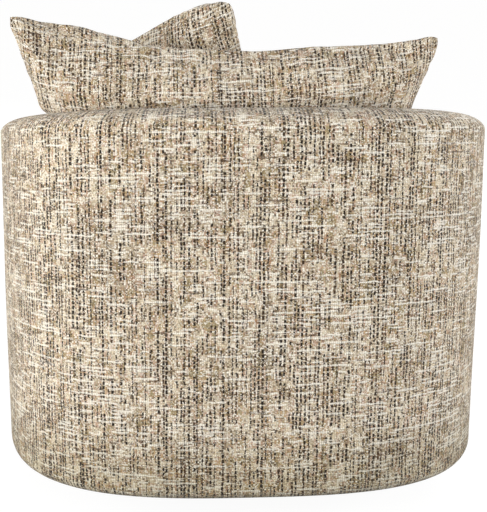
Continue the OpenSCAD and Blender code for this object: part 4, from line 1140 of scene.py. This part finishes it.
def blendShaders(tree, share, first, second, output):
    node = tree.nodes.new("ShaderNodeMixShader")
    for socket, value in zip(node.inputs, (share, first, second)):
        put(tree, socket, value)
    tree.links.new(node.outputs[0], tree.nodes[output].inputs["Surface"])


def makeFloor():
    # pale floor that shows near white to the camera, keeps the chair's shadow and throws little light back up
    f = Finish("floorPaper")
    glow = f.node("ShaderNodeEmission", values={"Color": white, "Strength": stage.glow})
    seen = seenRays(f.tree)
    f.set(Base_Color=f.mix(seen, stage.floorBounce, stage.floorSeen), Roughness=0.9)
    blendShaders(f.tree, seen * stage.glowShare, Wire(f.tree, f.shader.outputs[0]), glow, "Material Output")
    bpy.ops.mesh.primitive_plane_add(size=stage.floorSize)
    floor = bpy.context.object
    floor.name = "floor"
    floor.data.materials.append(f.material)


def makeWorld():
    # white to the camera and in reflections, a soft grey as light
    world = bpy.data.worlds.new("studio")
    scene.world = world
    world.use_nodes = True
    tree = world.node_tree
    light = tree.nodes["Background"]
    light.inputs["Color"].default_value = stage.worldColour
    light.inputs["Strength"].default_value = stage.worldStrength
    pale = tree.nodes.new("ShaderNodeBackground")
    pale.inputs["Color"].default_value = white
    first, second = (Wire(tree, node.outputs[0]) for node in (light, pale))
    blendShaders(tree, seenRays(tree), first, second, "World Output")


# place, power in watts, width and colour of each lamp
lamps = {
    "keyLight": ((3.6, 1.5, 1.15), 150.0, 2.0, (1.0, 0.975, 0.93)),
    "fillLight": ((-3.7, 1.5, 1.15), 114.0, 2.0, (1.0, 0.985, 0.96)),
    "rearLight": ((0.3, 3.7, 1.5), 51.0, 2.4, (1.0, 0.98, 0.95)),
    "frontLight": ((-1.5, -3.6, 1.7), 128.0, 2.4, (1.0, 0.99, 0.97)),
}
lightTarget = Vector((0.0, 0.0, 0.42))


def makeLamps():
    # round area lamps that face the middle of the chair
    for name, (place, power, size, colour) in lamps.items():
        data = bpy.data.lights.new(name, "AREA")
        data.shape = "DISK"
        data.size, data.energy, data.color = size, power, colour
        item = addItem(name, data)
        item.location = place
        item.rotation_euler = (lightTarget - item.location).to_track_quat("-Z", "Y").to_euler()


photoCamera = Sizes(
    distance=3.0835, height=1.1389, turn=radians(5.04), pitch=radians(13.43), roll=radians(-0.50),
    focalPixels=1635.2, longSide=512, shiftPixels=6.17,
)


def makeCamera(c=photoCamera):
    # behind the chair, level with its top and looking down a little, with a slight roll
    sine, cosine = sin(c.turn), cos(c.turn)
    right = Vector((-cosine, sine, 0))
    ahead = Vector((-sine * cos(c.pitch), -cosine * cos(c.pitch), -sin(c.pitch)))
    up = right.cross(ahead)
    rolledRight = right * cos(c.roll) - up * sin(c.roll)
    rolledUp = right * sin(c.roll) + up * cos(c.roll)
    data = bpy.data.cameras.new("photoCamera")
    data.lens = c.focalPixels * data.sensor_width / c.longSide
    data.shift_x = c.shiftPixels / c.longSide
    item = addItem("photoCamera", data)
    place = Vector((c.distance * sine, c.distance * cosine, c.height))
    turned = Matrix((rolledRight, rolledUp, -ahead)).transposed().to_4x4()
    item.matrix_world = Matrix.Translation(place) @ turned
    scene.camera = item


print("stage, lights and camera")
makeFloor()
makeWorld()
makeLamps()
makeCamera()
scene.view_settings.view_transform = "Standard"
